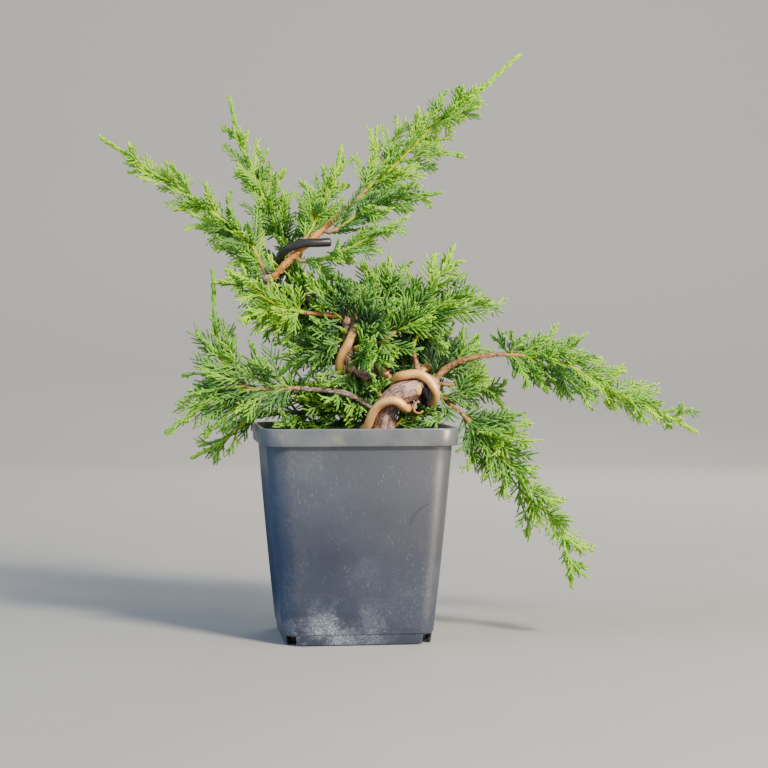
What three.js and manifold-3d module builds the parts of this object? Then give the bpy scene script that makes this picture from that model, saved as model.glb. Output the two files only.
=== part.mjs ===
// A young juniper in training: a wired, twice-bent trunk with open feathery sprays, growing in a
// square tapered nursery container. Millimetres, +Z up. The origin is the middle of the container's
// flat underside, and the side that the plant is seen from faces -Y.
import * as THREE from "three";
import { mergeGeometries, mergeVertices } from "three/addons/utils/BufferGeometryUtils.js";
import Module from "manifold-3d";

const wasm = await Module();
wasm.setup();

// Container: an 11 x 11 x 12 cm square pot, turned a little on the surface that it stands on.
const POT_HEIGHT = 120;
const POT_TURN = THREE.MathUtils.degToRad(7);
const RIM_HALF_WIDTH = 55;
const RIM_HEIGHT = 10;
const WALL_TOP_HALF_WIDTH = 51.6;
const BASE_HALF_WIDTH = 41.6;
const WALL = 1.6;
const FLOOR = 2;
const PLINTH_HEIGHT = 5.4;
const PLINTH_INSET = 0.6;
const CORNER_SHARE = 0.25; // corner radius over half width
const NOTCH_WIDTH = 7.3;
const NOTCH_HEIGHT = 5;
const NOTCH_DEPTH = 9;
const SOIL_LEVEL = 106;

// Everything that only touches keeps this gap.
const CLEAR = 0.3;

const FRAMES = 400; // stations at which a curve's own axes are worked out

// Limbs: radii in bark.
const TRUNK_RADIUS = 7.2;
const TRUNK_TIP_RADIUS = 2.4;
const ROOT_FLARE = 3.4;
const FLARE_HEIGHT = 6;
const WIRE_RADIUS = 2.5;

// Foliage: shoots branch from a stem, and carry leafy blades that each stand for a branchlet.
const STEM_RADIUS = 1.5;
const SHOOT_RADIUS = 1.1;
const SHOOT_TIP_RADIUS = 0.6;
const BUD_LENGTH = 13; // the leafy end of every shoot
const BUD_RADIUS = 1.7;
const BUD_PEAK = 0.65; // where it is widest, back from its tip
const STEM_PIECE = 13; // length of the straight pieces that a stem is built from
const TWIG_PIECE = 26;
const SHOOT_ROOT = 0.7; // how far past its stem's axis a shoot starts
const SHOOT_ANGLE = THREE.MathUtils.degToRad(38);
const SHORTEST_SHOOT = 8;
const FILLER_PITCH = 40; // along the stem, from one filler shoot to the next
const FILLER_LENGTH = 19;
const BLADE_PITCH = 23; // along the shoot, from one blade to the next
const BLADE_LENGTH = 18;
const BLADE_WIDTH = 5;
const BLADE_THICKNESS = 2.4;
const BLADE_WIDEST = 0.25; // where it is widest, as a share of its length
const BLADE_ROOT = 0.3; // how far past its twig's axis a blade starts
const BLADE_ANGLE = THREE.MathUtils.degToRad(40);
const FILLER_ANGLE = THREE.MathUtils.degToRad(55);
const SHOOT_BOW = 0.1; // how far a shoot bows, over its length
const SHOOT_PIECE = 8;
const SMOOTHING = 0.12; // how far the joined twigs may be simplified
const ROOT_LENGTH = 7; // bare stretch at a stem's root
const ROOT_STRAIGHT = 2;
const GOLDEN_TURN = Math.PI * (3 - Math.sqrt(5));
const OWN_SPACE = 4.6; // by how much a blade is nearer to its own mass than to any other

// A random number from 0 to 1 that is the same at every run.
function seeded(seed) {
  let state = seed;
  return () => {
    state = (state * 1664525 + 1013904223) % 4294967296;
    return state / 4294967296;
  };
}

// Booleans: a closed geometry to a solid, and back.
function solid(geometry) {
  geometry.deleteAttribute("normal");
  geometry.deleteAttribute("uv");
  const merged = mergeVertices(geometry, 1e-4);
  return new wasm.Manifold(
    new wasm.Mesh({
      numProp: 3,
      vertProperties: new Float32Array(merged.attributes.position.array),
      triVerts: new Uint32Array(merged.index.array),
    }),
  );
}

function biggestPiece(shape) {
  return shape.decompose().reduce((best, piece) => (piece.volume() > best.volume() ? piece : best));
}

function toGeometry(shape) {
  const { vertProperties, triVerts } = shape.getMesh();
  const geometry = new THREE.BufferGeometry();
  geometry.setAttribute("position", new THREE.BufferAttribute(vertProperties, 3));
  geometry.setIndex(new THREE.BufferAttribute(triVerts, 1));
  geometry.computeVertexNormals();
  return geometry;
}

function bark(colour) {
  return new THREE.MeshStandardMaterial({ color: colour, roughness: 0.85, metalness: 0 });
}

const materials = {
  container: new THREE.MeshStandardMaterial({ color: 0x3b3f45, roughness: 0.45, metalness: 0 }),
  soil: new THREE.MeshStandardMaterial({ color: 0x2a2019, roughness: 1, metalness: 0 }),
  trunk: bark(0x8a7064),
  bough: bark(0xa8663a),
  copperWire: new THREE.MeshStandardMaterial({ color: 0xb5793f, roughness: 0.4, metalness: 0.7 }),
  blackWire: new THREE.MeshStandardMaterial({ color: 0x1d1c1e, roughness: 0.35, metalness: 0.6 }),
  foliage: new THREE.MeshStandardMaterial({ color: 0x5d9a2c, roughness: 0.7, metalness: 0 }),
};

const plant = new THREE.Group();

function addPiece(group, name, shape, material) {
  const mesh = new THREE.Mesh(shape.isBufferGeometry ? shape : toGeometry(shape), material.clone());
  mesh.name = name;
  group.add(mesh);
}

// The container's rounded square, lofted through levels of [height, half width].
function taperedBlock(levels) {
  const flat = 1 - CORNER_SHARE;
  const outline = new THREE.Shape();
  for (let quarter = 0; quarter < 4; quarter++) {
    const start = (quarter * Math.PI) / 2;
    const x = flat * Math.SQRT2 * Math.cos(start + Math.PI / 4);
    const y = flat * Math.SQRT2 * Math.sin(start + Math.PI / 4);
    outline.absarc(x, y, CORNER_SHARE, start, start + Math.PI / 2, false);
  }
  outline.closePath();
  const steps = levels.length - 1;
  const block = new THREE.ExtrudeGeometry(outline, {
    depth: steps,
    steps,
    curveSegments: 3,
    bevelEnabled: false,
  });
  const place = block.attributes.position;
  for (let i = 0; i < place.count; i++) {
    const [height, half] = levels[Math.round(place.getZ(i))];
    place.setXYZ(i, place.getX(i) * half, place.getY(i) * half, height);
  }
  return solid(block);
}

const rimUnderside = POT_HEIGHT - RIM_HEIGHT;

// The wall tapers a little faster near the foot than near the rim.
function wallHalfWidth(height) {
  const share = height / rimUnderside;
  return BASE_HALF_WIDTH + (WALL_TOP_HALF_WIDTH - BASE_HALF_WIDTH) * share * (1.25 - 0.25 * share);
}

function containerShell() {
  const wallLevels = [0.45, 1].map((share) => [rimUnderside * share, wallHalfWidth(rimUnderside * share)]);
  const outside = taperedBlock([
    [0, BASE_HALF_WIDTH - PLINTH_INSET],
    [PLINTH_HEIGHT, wallHalfWidth(PLINTH_HEIGHT) - PLINTH_INSET],
    [PLINTH_HEIGHT + PLINTH_INSET, wallHalfWidth(PLINTH_HEIGHT)],
    ...wallLevels,
    [rimUnderside + PLINTH_INSET, RIM_HALF_WIDTH - PLINTH_INSET],
    [POT_HEIGHT - PLINTH_INSET, RIM_HALF_WIDTH],
    [POT_HEIGHT, RIM_HALF_WIDTH - PLINTH_INSET],
  ]);
  const inside = taperedBlock([
    [FLOOR, BASE_HALF_WIDTH - PLINTH_INSET - WALL],
    ...wallLevels.map(([height, half]) => [height, half - WALL]),
    [rimUnderside + WALL, RIM_HALF_WIDTH - PLINTH_INSET - WALL],
    [POT_HEIGHT + WALL, RIM_HALF_WIDTH - PLINTH_INSET - WALL],
  ]);
  let shell = outside.subtract(inside);
  const reach = (BASE_HALF_WIDTH * (1 - CORNER_SHARE) * Math.SQRT2 + BASE_HALF_WIDTH * CORNER_SHARE);
  for (let corner = 0; corner < 4; corner++) {
    const notch = new THREE.BoxGeometry(2 * NOTCH_DEPTH, NOTCH_WIDTH, 2 * NOTCH_HEIGHT);
    notch.translate(reach, 0, 0);
    notch.rotateZ(Math.PI / 4 + (corner * Math.PI) / 2);
    shell = shell.subtract(solid(notch));
  }
  return shell;
}

function soilBlock() {
  const levels = [0.45, 1].map((share) => {
    const height = share * SOIL_LEVEL;
    return [height, wallHalfWidth(height) - WALL - 2 * CLEAR];
  });
  return taperedBlock([[FLOOR + CLEAR, BASE_HALF_WIDTH - PLINTH_INSET - WALL - 2 * CLEAR], ...levels]);
}

const container = new THREE.Group();
container.rotation.z = POT_TURN;
addPiece(container, "container", containerShell(), materials.container);
addPiece(container, "soil", soilBlock(), materials.soil);
plant.add(container);

// True where a ball would touch the container or the soil.
function hitsContainer({ centre, radius }) {
  const gap = radius + 2 * CLEAR;
  if (centre.z > POT_HEIGHT + gap) return false;
  const turned = centre.clone().applyAxisAngle(new THREE.Vector3(0, 0, 1), -POT_TURN);
  const across = Math.max(Math.abs(turned.x), Math.abs(turned.y));
  const outer = centre.z > rimUnderside - gap ? RIM_HALF_WIDTH : wallHalfWidth(centre.z);
  const inHollow = across < WALL_TOP_HALF_WIDTH - WALL - gap && centre.z > SOIL_LEVEL + gap;
  return across < outer + gap && !inHollow;
}

function evenShares(count) {
  return Array.from({ length: count + 1 }, (_, i) => i / count);
}

// A limb along a curve: a cylinder whose rings are set on the curve's own frames, at the given
// shares of its length. It is pointed where the last radius is nothing.
function limb(curve, radiusAt, sides, shares) {
  const steps = shares.length - 1;
  const tube = new THREE.CylinderGeometry(radiusAt(1) > 0 ? 1 : 0, 1, 1, sides, steps);
  const frames = curve.computeFrenetFrames(FRAMES);
  const place = tube.attributes.position;
  const point = new THREE.Vector3();
  for (let i = 0; i < place.count; i++) {
    const share = shares[Math.round((place.getY(i) + 0.5) * steps)];
    const station = Math.round(share * FRAMES);
    const onAxis = Math.hypot(place.getX(i), place.getZ(i)) < 1e-6;
    const angle = Math.atan2(-place.getZ(i), place.getX(i));
    const radius = onAxis ? 0 : radiusAt(share, angle);
    curve.getPointAt(share, point);
    point.addScaledVector(frames.normals[station], radius * Math.cos(angle));
    point.addScaledVector(frames.binormals[station], radius * Math.sin(angle));
    place.setXYZ(i, point.x, point.y, point.z);
  }
  return solid(tube);
}

function curveThrough(points) {
  return new THREE.CatmullRomCurve3(points.map((p) => new THREE.Vector3(...p)));
}

// Balls along a curve, used to keep foliage clear of limbs and of its neighbours.
function ballsAlong(curve, radiusAt, pitch = 1.5) {
  const count = Math.max(2, Math.ceil(curve.getLength() / pitch));
  return Array.from({ length: count + 1 }, (_, i) => ({
    centre: curve.getPointAt(i / count),
    radius: radiusAt(i / count, 0),
  }));
}

// The trunk leans right out of the soil, doubles back behind itself, climbs left and ends in the
// knuckle that the leader springs from.
const trunkCurve = curveThrough([
  [16, 0, SOIL_LEVEL + CLEAR],
  [16, 0, SOIL_LEVEL + 3],
  [17.5, 0, 117],
  [19, -2.5, 128],
  [26, -5.5, 137],
  [36, -5, 141],
  [45, 4, 142],
  [43, 16, 145],
  [30, 22, 148],
  [15, 19, 149],
  [3, 11, 150],
  [-2, 5, 157],
  [-2, 3, 168],
  [-3, 3, 179],
  [-10, 5, 187],
  [-25, 9, 191],
  [-39, 8, 195],
  [-47, 2, 199],
  [-49, -4, 205],
]);
const trunkLength = trunkCurve.getLength();

function trunkRadius(share, angle = 0) {
  const taper = TRUNK_TIP_RADIUS + (TRUNK_RADIUS - TRUNK_TIP_RADIUS) * (1 - share) ** 1.3;
  const flare = ROOT_FLARE * Math.exp((-share * trunkLength) / FLARE_HEIGHT);
  return taper + flare * (0.8 + 0.2 * Math.cos(3 * angle));
}

const limbs = {};

function addLimb(name, curve, radiusAt, sides, steps, colour, cut) {
  const whole = limb(curve, radiusAt, sides, evenShares(steps));
  addPiece(plant, name, cut ? biggestPiece(whole.subtract(cut)) : whole, colour);
  limbs[name] = { curve, radiusAt, balls: ballsAlong(curve, radiusAt) };
}

const nearTrunk = limb(trunkCurve, (share, angle) => trunkRadius(share, angle) + CLEAR, 9, evenShares(36));
addLimb("trunk", trunkCurve, trunkRadius, 9, 36, materials.trunk);

// Boughs: each tapers from the trunk's skin to where it enters its foliage.
const boughs = {
  leader: { path: [[-48, 0, 201.5], [-35, -5, 214.5], [-20, -3, 228], [-4, 0, 243]], radii: [2.1, 1.4] },
  bough_low_left: { path: [[20, -1, 128], [11, 1, 130], [-3, -8, 138], [-29, -12, 141]], radii: [1.7, 1.2] },
  bough_low_back: { path: [[17, 1, 117], [4, 16, 124], [-18, 20, 127], [-36, 16, 126]], radii: [1.8, 1.2] },
  bough_right_upper: { path: [[46, 6, 144], [55, 5, 153], [67, 0, 158], [82, -3, 160]], radii: [1.8, 1.2] },
  bough_right_low: { path: [[45, 8, 142], [54, 5, 134], [62, -4, 127]], radii: [1.6, 1.2] },
  bough_bend: { path: [[43, -1, 145], [38, 0, 151], [36, 1, 158]], radii: [1.6, 1.1] },
  bough_middle_left: { path: [[-4, 3, 180], [-14, -4, 183], [-26, -8, 184]], radii: [1.6, 1.1] },
  bough_middle_right: { path: [[-2, 3, 163], [5, -1, 164], [13, -2, 166]], radii: [1.5, 1.1] },
  bough_back_up: { path: [[30, 22, 148], [29, 29, 163], [24, 31, 177], [20, 31, 190]], radii: [1.8, 1.2] },
  bough_back_left: { path: [[8, 15, 150], [2, 30, 155], [-6, 42, 160]], radii: [1.8, 1.2] },
  bough_back_right: { path: [[42, 17, 145], [48, 32, 148], [55, 44, 153]], radii: [1.8, 1.2] },
};

for (const [name, { path, radii }] of Object.entries(boughs)) {
  const [start, end] = radii;
  const radiusAt = (share) => start + (end - start) * share;
  addLimb(name, curveThrough(path), radiusAt, 6, 2 * path.length, materials.bough, nearTrunk);
}

// Training wire: a helix round a limb, through [share of the limb's length, turns round it].
class WireCurve extends THREE.Curve {
  constructor(core, stations) {
    super();
    this.core = core;
    this.stations = curveThrough(stations.map(([share, turns]) => [share, turns, 0]));
    this.frames = core.curve.computeFrenetFrames(FRAMES);
  }

  getPoint(t, target = new THREE.Vector3()) {
    const { curve, radiusAt } = this.core;
    const { x: share, y: turns } = this.stations.getPoint(t);
    const station = Math.round(share * FRAMES);
    const radius = radiusAt(share) + WIRE_RADIUS + 2.6 * CLEAR;
    const angle = turns * 2 * Math.PI;
    return curve
      .getPointAt(share, target)
      .addScaledVector(this.frames.normals[station], radius * Math.cos(angle))
      .addScaledVector(this.frames.binormals[station], radius * Math.sin(angle));
  }
}

const wires = {
  trunk_wire: new WireCurve(limbs.trunk, [
    [0.012, -0.34],
    [0.058, -0.175],
    [0.097, -0.12],
    [0.126, -0.09],
    [0.147, -0.045],
    [0.159, 0.02],
    [0.161, 0.14],
    [0.163, 0.4],
    [0.172, 0.62],
    [0.191, 0.745],
    [0.212, 0.785],
    [0.227, 0.87],
    [0.239, 0.975],
    [0.252, 1.085],
    [0.262, 1.22],
    [0.29, 1.45],
    [0.58, 3.17],
    [0.606, 3.3],
    [0.645, 3.41],
    [0.68, 3.5],
    [0.712, 3.62],
    [0.732, 3.82],
  ]),
  leader_wire: curveThrough([
    [-26, 15, 190],
    [-31, 12, 186],
    [-36, 5, 187.5],
    [-40, 0.5, 193],
    [-40.5, 0.5, 200],
    [-38.8, 2.4, 205.4],
    [-41, 2, 211.4],
    [-40.5, -3.2, 216.6],
    [-35, -8.4, 220.8],
    [-27, -9.5, 223.2],
    [-18, -8.6, 223.6],
    [-12, -7, 224],
  ]),
};
addLimb("trunk_wire", wires.trunk_wire, () => WIRE_RADIUS, 6, 60, materials.copperWire);
addLimb("leader_wire", wires.leader_wire, () => WIRE_RADIUS, 6, 18, materials.blackWire);

// The foliage masses: each has the limb that its stem springs from and the share of that limb's
// length, the stem's own points and the tips of its long side shoots.
const masses = {
  leader_spray: {
    from: ["leader", 1],
    stem: [[10, 2, 256], [27, 2, 271], [50, 0, 294], [70, -4, 308], [95, -6, 330]],
    tips: [[14, 8, 291], [26, 12, 298], [38, -8, 300], [51, 8, 310], [63, -10, 312], [72, -16, 299],
      [58, 8, 284], [62, -8, 274], [41, -4, 262]],
  },
  leader_mid: {
    from: ["leader", 0.72],
    stem: [[-6, -6, 233], [4, -6, 240], [19, -6, 247], [51, -9, 252]],
    tips: [[36, -18, 258], [35, 4, 243], [22, -16, 241]],
  },
  leader_right: {
    from: ["leader", 0.36],
    stem: [[-25, -8, 213], [-12, -12, 216], [2, -14, 222], [32, -18, 238]],
    tips: [[17, -12, 218], [8, -8, 211], [20, -26, 230], [-4, -22, 212]],
  },
  leader_centre: {
    from: ["leader", 0.5],
    stem: [[-25, 2, 229], [-17, 6, 246], [-10, 8, 262], [-6, 8, 280]],
    tips: [[-17, 2, 268], [-27, 2, 259], [-30, 10, 247], [-2, 16, 258], [-12, 20, 244]],
  },
  upper_left: {
    from: ["trunk", 0.96],
    stem: [[-52, 8, 211], [-60, 7, 226], [-81, 3, 243], [-112, -2, 263], [-143, -6, 284]],
    tips: [[-84, 6, 259], [-71, 2, 252], [-95, 10, 234], [-80, 14, 224], [-71, 10, 213],
      [-107, 6, 271], [-101, 4, 243], [-90, -12, 239], [-128, 2, 264], [-126, -12, 280]],
  },
  upper_middle: {
    from: ["trunk", 0.88],
    stem: [[-37, 16, 207], [-42, 18, 228], [-52, 16, 252], [-64, 13, 280], [-71, 11, 309]],
    tips: [[-75, 14, 290], [-60, 16, 289], [-49, 16, 279], [-41, 24, 268], [-67, 24, 267],
      [-34, 22, 255], [-56, 30, 243], [-28, 26, 238]],
  },
  middle_left: {
    from: ["bough_middle_left", 1],
    stem: [[-38, -12, 187], [-49, -15, 192], [-57, -18, 201], [-71, -20, 208]],
    tips: [[-62, -14, 211], [-64, -20, 193], [-63, -16, 180], [-51, -22, 173], [-36, -14, 174],
      [-46, -16, 204], [-34, -16, 199], [-44, -32, 186]],
  },
  left_low: {
    from: ["bough_low_left", 1],
    stem: [[-40, -13, 141], [-56, -14, 141], [-66, -14, 146], [-75, -13, 163], [-79, -10, 209]],
    tips: [[-87, -14, 172], [-65, -16, 176], [-96, -8, 149], [-90, -24, 137], [-105, -16, 116],
      [-83, -12, 113], [-58, -16, 168], [-50, -18, 121], [-38, -14, 121], [-64, -34, 128],
      [-92, -10, 128], [-48, -28, 158]],
  },
  left_hanging: {
    from: ["bough_low_back", 1],
    stem: [[-46, 14, 127], [-56, 10, 126], [-66, 6, 117], [-78, 2, 108], [-92, -2, 101]],
    tips: [[-80, 10, 97], [-89, 12, 107], [-68, -2, 104], [-76, 22, 116]],
  },
  right_upper: {
    from: ["bough_right_upper", 1],
    stem: [[103, -5, 159], [118, -6, 156], [133, -6, 149], [147, -7, 139], [164, -9, 133], [196, -10, 116]],
    tips: [[80, 4, 171], [90, -14, 173], [102, 2, 173], [117, -2, 174], [131, -12, 171], [132, 4, 163],
      [155, -14, 151], [143, 2, 159], [172, -2, 143], [188, -14, 130], [148, -2, 129], [167, -16, 121],
      [182, -4, 118], [136, -12, 129], [122, 2, 137], [110, -12, 139], [100, 2, 143], [92, -8, 147],
      [108, 14, 152]],
  },
  right_low: {
    from: ["bough_right_low", 1],
    stem: [[70, -9, 118], [80, -12, 108], [90, -14, 98], [99, -15, 83], [118, -15, 61], [125, -14, 28]],
    tips: [[97, -10, 127], [103, -2, 121], [104, -18, 112], [66, -22, 96], [76, -14, 90],
      [104, -8, 95], [86, -20, 79], [119, -16, 77], [99, -10, 57], [137, -10, 49], [132, -20, 35],
      [84, 2, 92], [78, -26, 116]],
  },
  right_middle: {
    from: ["trunk", 0.31],
    stem: [[56, 14, 143], [66, 15, 142], [77, 14, 139], [88, 10, 129]],
    tips: [[89, 18, 143], [86, 20, 133], [72, 24, 132], [68, 28, 148]],
  },
  middle_right: {
    from: ["bough_middle_right", 1],
    stem: [[22, -2, 171], [30, -1, 178], [38, 1, 188], [49, 3, 205], [59, 4, 223]],
    tips: [[46, 8, 217], [62, 8, 214], [64, -2, 204], [71, 4, 194], [86, 6, 189], [66, -8, 187],
      [33, 8, 207], [24, -8, 192], [47, -14, 181], [23, -14, 157], [10, -16, 154]],
  },
  bend_spray: {
    from: ["bough_bend", 1],
    stem: [[35, 2, 163], [37, 4, 170], [46, 6, 178]],
    tips: [[56, 6, 172], [66, 8, 168], [26, 6, 164], [54, -6, 164], [40, 14, 183]],
  },
  upper_back: {
    from: ["bough_back_up", 1],
    stem: [[17, 30, 197], [11, 30, 206], [5, 30, 214]],
    tips: [[22, 34, 216], [34, 40, 214], [-6, 34, 204], [38, 30, 200], [10, 44, 208]],
  },
  knot_spray: {
    from: ["trunk", 0.72],
    stem: [[-3, -2, 192], [-9, -4, 203], [-20, -5, 210]],
    tips: [[4, -8, 199], [-18, -12, 199], [-6, -16, 200], [8, 4, 192]],
  },
  centre_left: {
    from: ["trunk", 0.65],
    stem: [[-14, 0, 166], [-27, -3, 163], [-44, -6, 158]],
    tips: [[-39, -8, 169], [-28, 4, 172], [-35, 2, 149], [-22, -8, 152], [-20, 16, 158]],
  },
  centre_front: {
    from: ["trunk", 0.135],
    stem: [[14, -8, 143], [11, -14, 149], [8, -20, 155], [2, -26, 163]],
    tips: [[26, -22, 158], [8, -30, 150], [-6, -22, 154], [30, -14, 155], [12, -34, 164]],
  },
  low_centre: {
    from: ["bough_low_back", 0.45],
    stem: [[-8, 14, 136], [-16, 10, 140], [-26, 8, 144]],
    tips: [[0, 6, 141], [-14, 0, 128], [-30, 2, 133], [-34, 20, 144], [-10, 26, 146]],
  },
  low_right: {
    from: ["trunk", 0.06],
    stem: [[28, 8, 123], [37, 14, 125], [46, 18, 127]],
    tips: [[38, 4, 123], [40, 26, 130], [52, 10, 129], [28, 22, 130], [44, 34, 124]],
  },
  back_left: {
    from: ["bough_back_left", 1],
    stem: [[-12, 48, 164], [-22, 56, 171], [-32, 62, 180]],
    tips: [[-40, 50, 168], [-14, 66, 180], [-30, 66, 160], [-8, 60, 156], [-22, 44, 184], [-44, 58, 150]],
  },
  back_right: {
    from: ["bough_back_right", 1],
    stem: [[61, 50, 156], [68, 58, 162], [74, 66, 172]],
    tips: [[50, 60, 170], [84, 54, 162], [62, 72, 160], [80, 70, 150], [46, 66, 152], [66, 46, 176]],
  },
};

function spacedCurve(points) {
  const curve = new THREE.CatmullRomCurve3(points);
  const pieces = Math.max(2, Math.round(curve.getLength() / SHOOT_PIECE));
  return new THREE.CatmullRomCurve3(curve.getSpacedPoints(pieces));
}

// The stem starts just clear of the tip of its bough, or of the side of its limb.
function massStem({ from: [name, share], stem }) {
  const points = stem.map((p) => new THREE.Vector3(...p));
  const { curve, radiusAt } = limbs[name];
  const centre = curve.getPointAt(share);
  const axis = curve.getTangentAt(share);
  const out = points[0].clone().sub(centre);
  if (share < 1) out.addScaledVector(axis, -out.dot(axis));
  else out.copy(axis);
  out.normalize();
  const start = centre.addScaledVector(out, CLEAR + (share < 1 ? radiusAt(share) : 0));
  const squareToRoot = start.clone().addScaledVector(out, ROOT_STRAIGHT);
  const onward = spacedCurve([squareToRoot, ...points]).points;
  return new THREE.CatmullRomCurve3([start, ...onward]);
}

// The point a little behind the start of a shoot, so that its root is sunk in the stem.
function beyond(start, next) {
  return start.clone().addScaledVector(start.clone().sub(next).normalize(), SHOOT_ROOT);
}

// A side shoot leaves its stem where it makes the usual angle with it, and bows towards its tip.
function sideShoot(stem, tip) {
  let best = { error: Infinity };
  for (let share = 0.06; share < 0.96; share += 0.02) {
    const start = stem.getPointAt(share);
    const along = stem.getTangentAt(share);
    const error = Math.abs(along.angleTo(tip.clone().sub(start)) - SHOOT_ANGLE);
    if (error < best.error) best = { error, start, along };
  }
  const { start, along } = best;
  const bend = start.clone().lerp(tip, 0.45).addScaledVector(along, SHOOT_BOW * start.distanceTo(tip));
  return spacedCurve([beyond(start, bend), bend, tip]);
}

// The direction that leaves an axis at an angle, turned round it by a spin.
function leaning(axis, angle, spin) {
  const side = new THREE.Vector3(0, -1, 0).cross(axis).normalize();
  const across = axis.clone().cross(side);
  return axis
    .clone()
    .multiplyScalar(Math.cos(angle))
    .addScaledVector(side, Math.sin(angle) * Math.cos(spin))
    .addScaledVector(across, Math.sin(angle) * Math.sin(spin));
}

function fillerShoots(stem, random) {
  const count = Math.round(stem.getLength() / FILLER_PITCH);
  return Array.from({ length: count }, (_, i) => {
    const share = (i + 0.6) / count;
    const direction = leaning(stem.getTangentAt(share), FILLER_ANGLE, i * GOLDEN_TURN + Math.PI / 2);
    const length = FILLER_LENGTH * (0.8 + 0.4 * random()) * (1 - 0.4 * share);
    const start = stem.getPointAt(share);
    const end = start.clone().addScaledVector(direction, length);
    return spacedCurve([beyond(start, end), end]);
  });
}

const allLimbs = Object.values(limbs).flatMap((entry) => entry.balls);

function touches(ball, others, gap) {
  return others.some((other) => ball.centre.distanceTo(other.centre) < ball.radius + other.radius + gap);
}

function blocked(ball) {
  return hitsContainer(ball) || touches(ball, allLimbs, CLEAR);
}

// A shoot stops where it would touch a limb, the container or an earlier mass.
function cutShoot(curve, earlier, bareLength = 0) {
  const last = curve.points.length - 1;
  const start = curve.points[0];
  const free = (point) => {
    const ball = { centre: point, radius: SHOOT_RADIUS };
    const nearRoot = point.distanceTo(start) < bareLength;
    return (nearRoot || !blocked(ball)) && !touches(ball, earlier, OWN_SPACE - 2 * SHOOT_RADIUS);
  };
  let keep = 0;
  while (keep < last && free(curve.getPoint((keep + 0.5) / last)) && free(curve.points[keep + 1])) keep += 1;
  if (keep === last) return curve;
  return keep < 2 ? null : new THREE.CatmullRomCurve3(curve.points.slice(0, keep + 1));
}

// Every mass grows by one rule: its stem, a side shoot to each far tip, and fillers all round.
const grown = {};
const taken = [];
Object.entries(masses).forEach(([name, plan], index) => {
  const stem = cutShoot(massStem(plan), taken, ROOT_LENGTH);
  const toTips = plan.tips.map((tip) => sideShoot(stem, new THREE.Vector3(...tip)));
  const fillers = fillerShoots(stem, seeded(index + 1));
  const shoots = [...toTips, ...fillers]
    .map((shoot) => cutShoot(shoot, taken))
    .filter((shoot) => shoot && shoot.getLength() > SHORTEST_SHOOT);
  const balls = [stem, ...shoots].flatMap((shoot) =>
    ballsAlong(shoot, () => SHOOT_RADIUS, 1.6).map((ball) => ({ ...ball, shoot })),
  );
  grown[name] = { stem, shoots, balls };
  taken.push(...balls);
});

function distanceTo(balls, point) {
  return balls.reduce((nearest, ball) => Math.min(nearest, ball.centre.distanceToSquared(point)), Infinity) ** 0.5;
}

// A blade is six-faced: two three-sided points back to back, flattened, widest near the root.
const point = new THREE.ConeGeometry(1, 1, 3, 1, true).translate(0, 0.5, 0);
const twoPoints = mergeGeometries([point, point.clone().rotateZ(Math.PI)]);

function blade(root, direction, length, spin) {
  const shape = twoPoints.clone();
  const place = shape.attributes.position;
  const widest = BLADE_WIDEST * length;
  for (let i = 0; i < place.count; i++) {
    const along = place.getY(i);
    place.setY(i, widest + along * (along > 0.5 ? length - widest : widest + BLADE_ROOT));
  }
  shape.scale(BLADE_WIDTH / 2, 1, BLADE_THICKNESS / 2);
  const whole = mergeVertices(shape.deleteAttribute("normal").deleteAttribute("uv"), 1e-4);
  whole.rotateY(spin);
  whole.applyQuaternion(new THREE.Quaternion().setFromUnitVectors(new THREE.Vector3(0, 1, 0), direction));
  whole.translate(root.x, root.y, root.z);
  return solid(whole);
}

function bladesAlong(curve, random, fits) {
  const count = Math.round(curve.getLength() / BLADE_PITCH);
  const firstSpin = random() * 2 * Math.PI;
  const blades = [];
  for (let i = 0; i < count; i++) {
    const share = (i + 0.7) / count;
    const root = curve.getPointAt(share);
    const direction = leaning(curve.getTangentAt(share), BLADE_ANGLE, firstSpin + i * GOLDEN_TURN);
    const longest = BLADE_LENGTH * (0.85 + 0.3 * random()) * (1 - 0.45 * share);
    const spin = random() * Math.PI;
    const length = [1, 0.75, 0.55].map((part) => part * longest).find((l) => fits(curve, root, direction, l));
    if (length) blades.push(blade(root, direction, length, spin));
  }
  return blades;
}

// A twig tapers, and swells again into the leafy end of the shoot.
function twig(shoot, thick, piece) {
  const bud = Math.min(BUD_LENGTH / shoot.getLength(), 0.5);
  const pieces = Math.max(1, Math.round(((1 - bud) * shoot.getLength()) / piece));
  const shares = [...evenShares(pieces).map((share) => share * (1 - bud)), 1 - BUD_PEAK * bud, 1];
  const radiusAt = (share) => {
    if (share > 1 - bud / 2) return 0;
    if (share > 1 - bud + 1e-6) return BUD_RADIUS;
    return thick + ((SHOOT_TIP_RADIUS - thick) * share) / (1 - bud);
  };
  return limb(shoot, radiusAt, 3, shares);
}

// A blade is left out where it would touch anything, or leave its mass's own space.
function spaceOf(mass) {
  const neighbours = Object.values(grown).filter((other) => other !== mass);
  const placed = [];
  return (shoot, root, direction, length) => {
    const [nearRoot, ...balls] = [0.2, 0.4, 0.7, 1].map((reach) => ({
      centre: root.clone().addScaledVector(direction, length * reach),
      radius: (BLADE_WIDTH / 2) * (1.2 - reach),
    }));
    const others = mass.balls.filter((ball) => ball.shoot !== shoot);
    const free = !blocked(nearRoot) && balls.every((ball) => {
      const own = distanceTo(mass.balls, ball.centre) + OWN_SPACE;
      const inSpace = neighbours.every((other) => distanceTo(other.balls, ball.centre) > own);
      return inSpace && !blocked(ball) && !touches(ball, placed, 0) && !touches(ball, others, 0);
    });
    if (free) placed.push(...balls);
    return free;
  };
}

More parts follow.
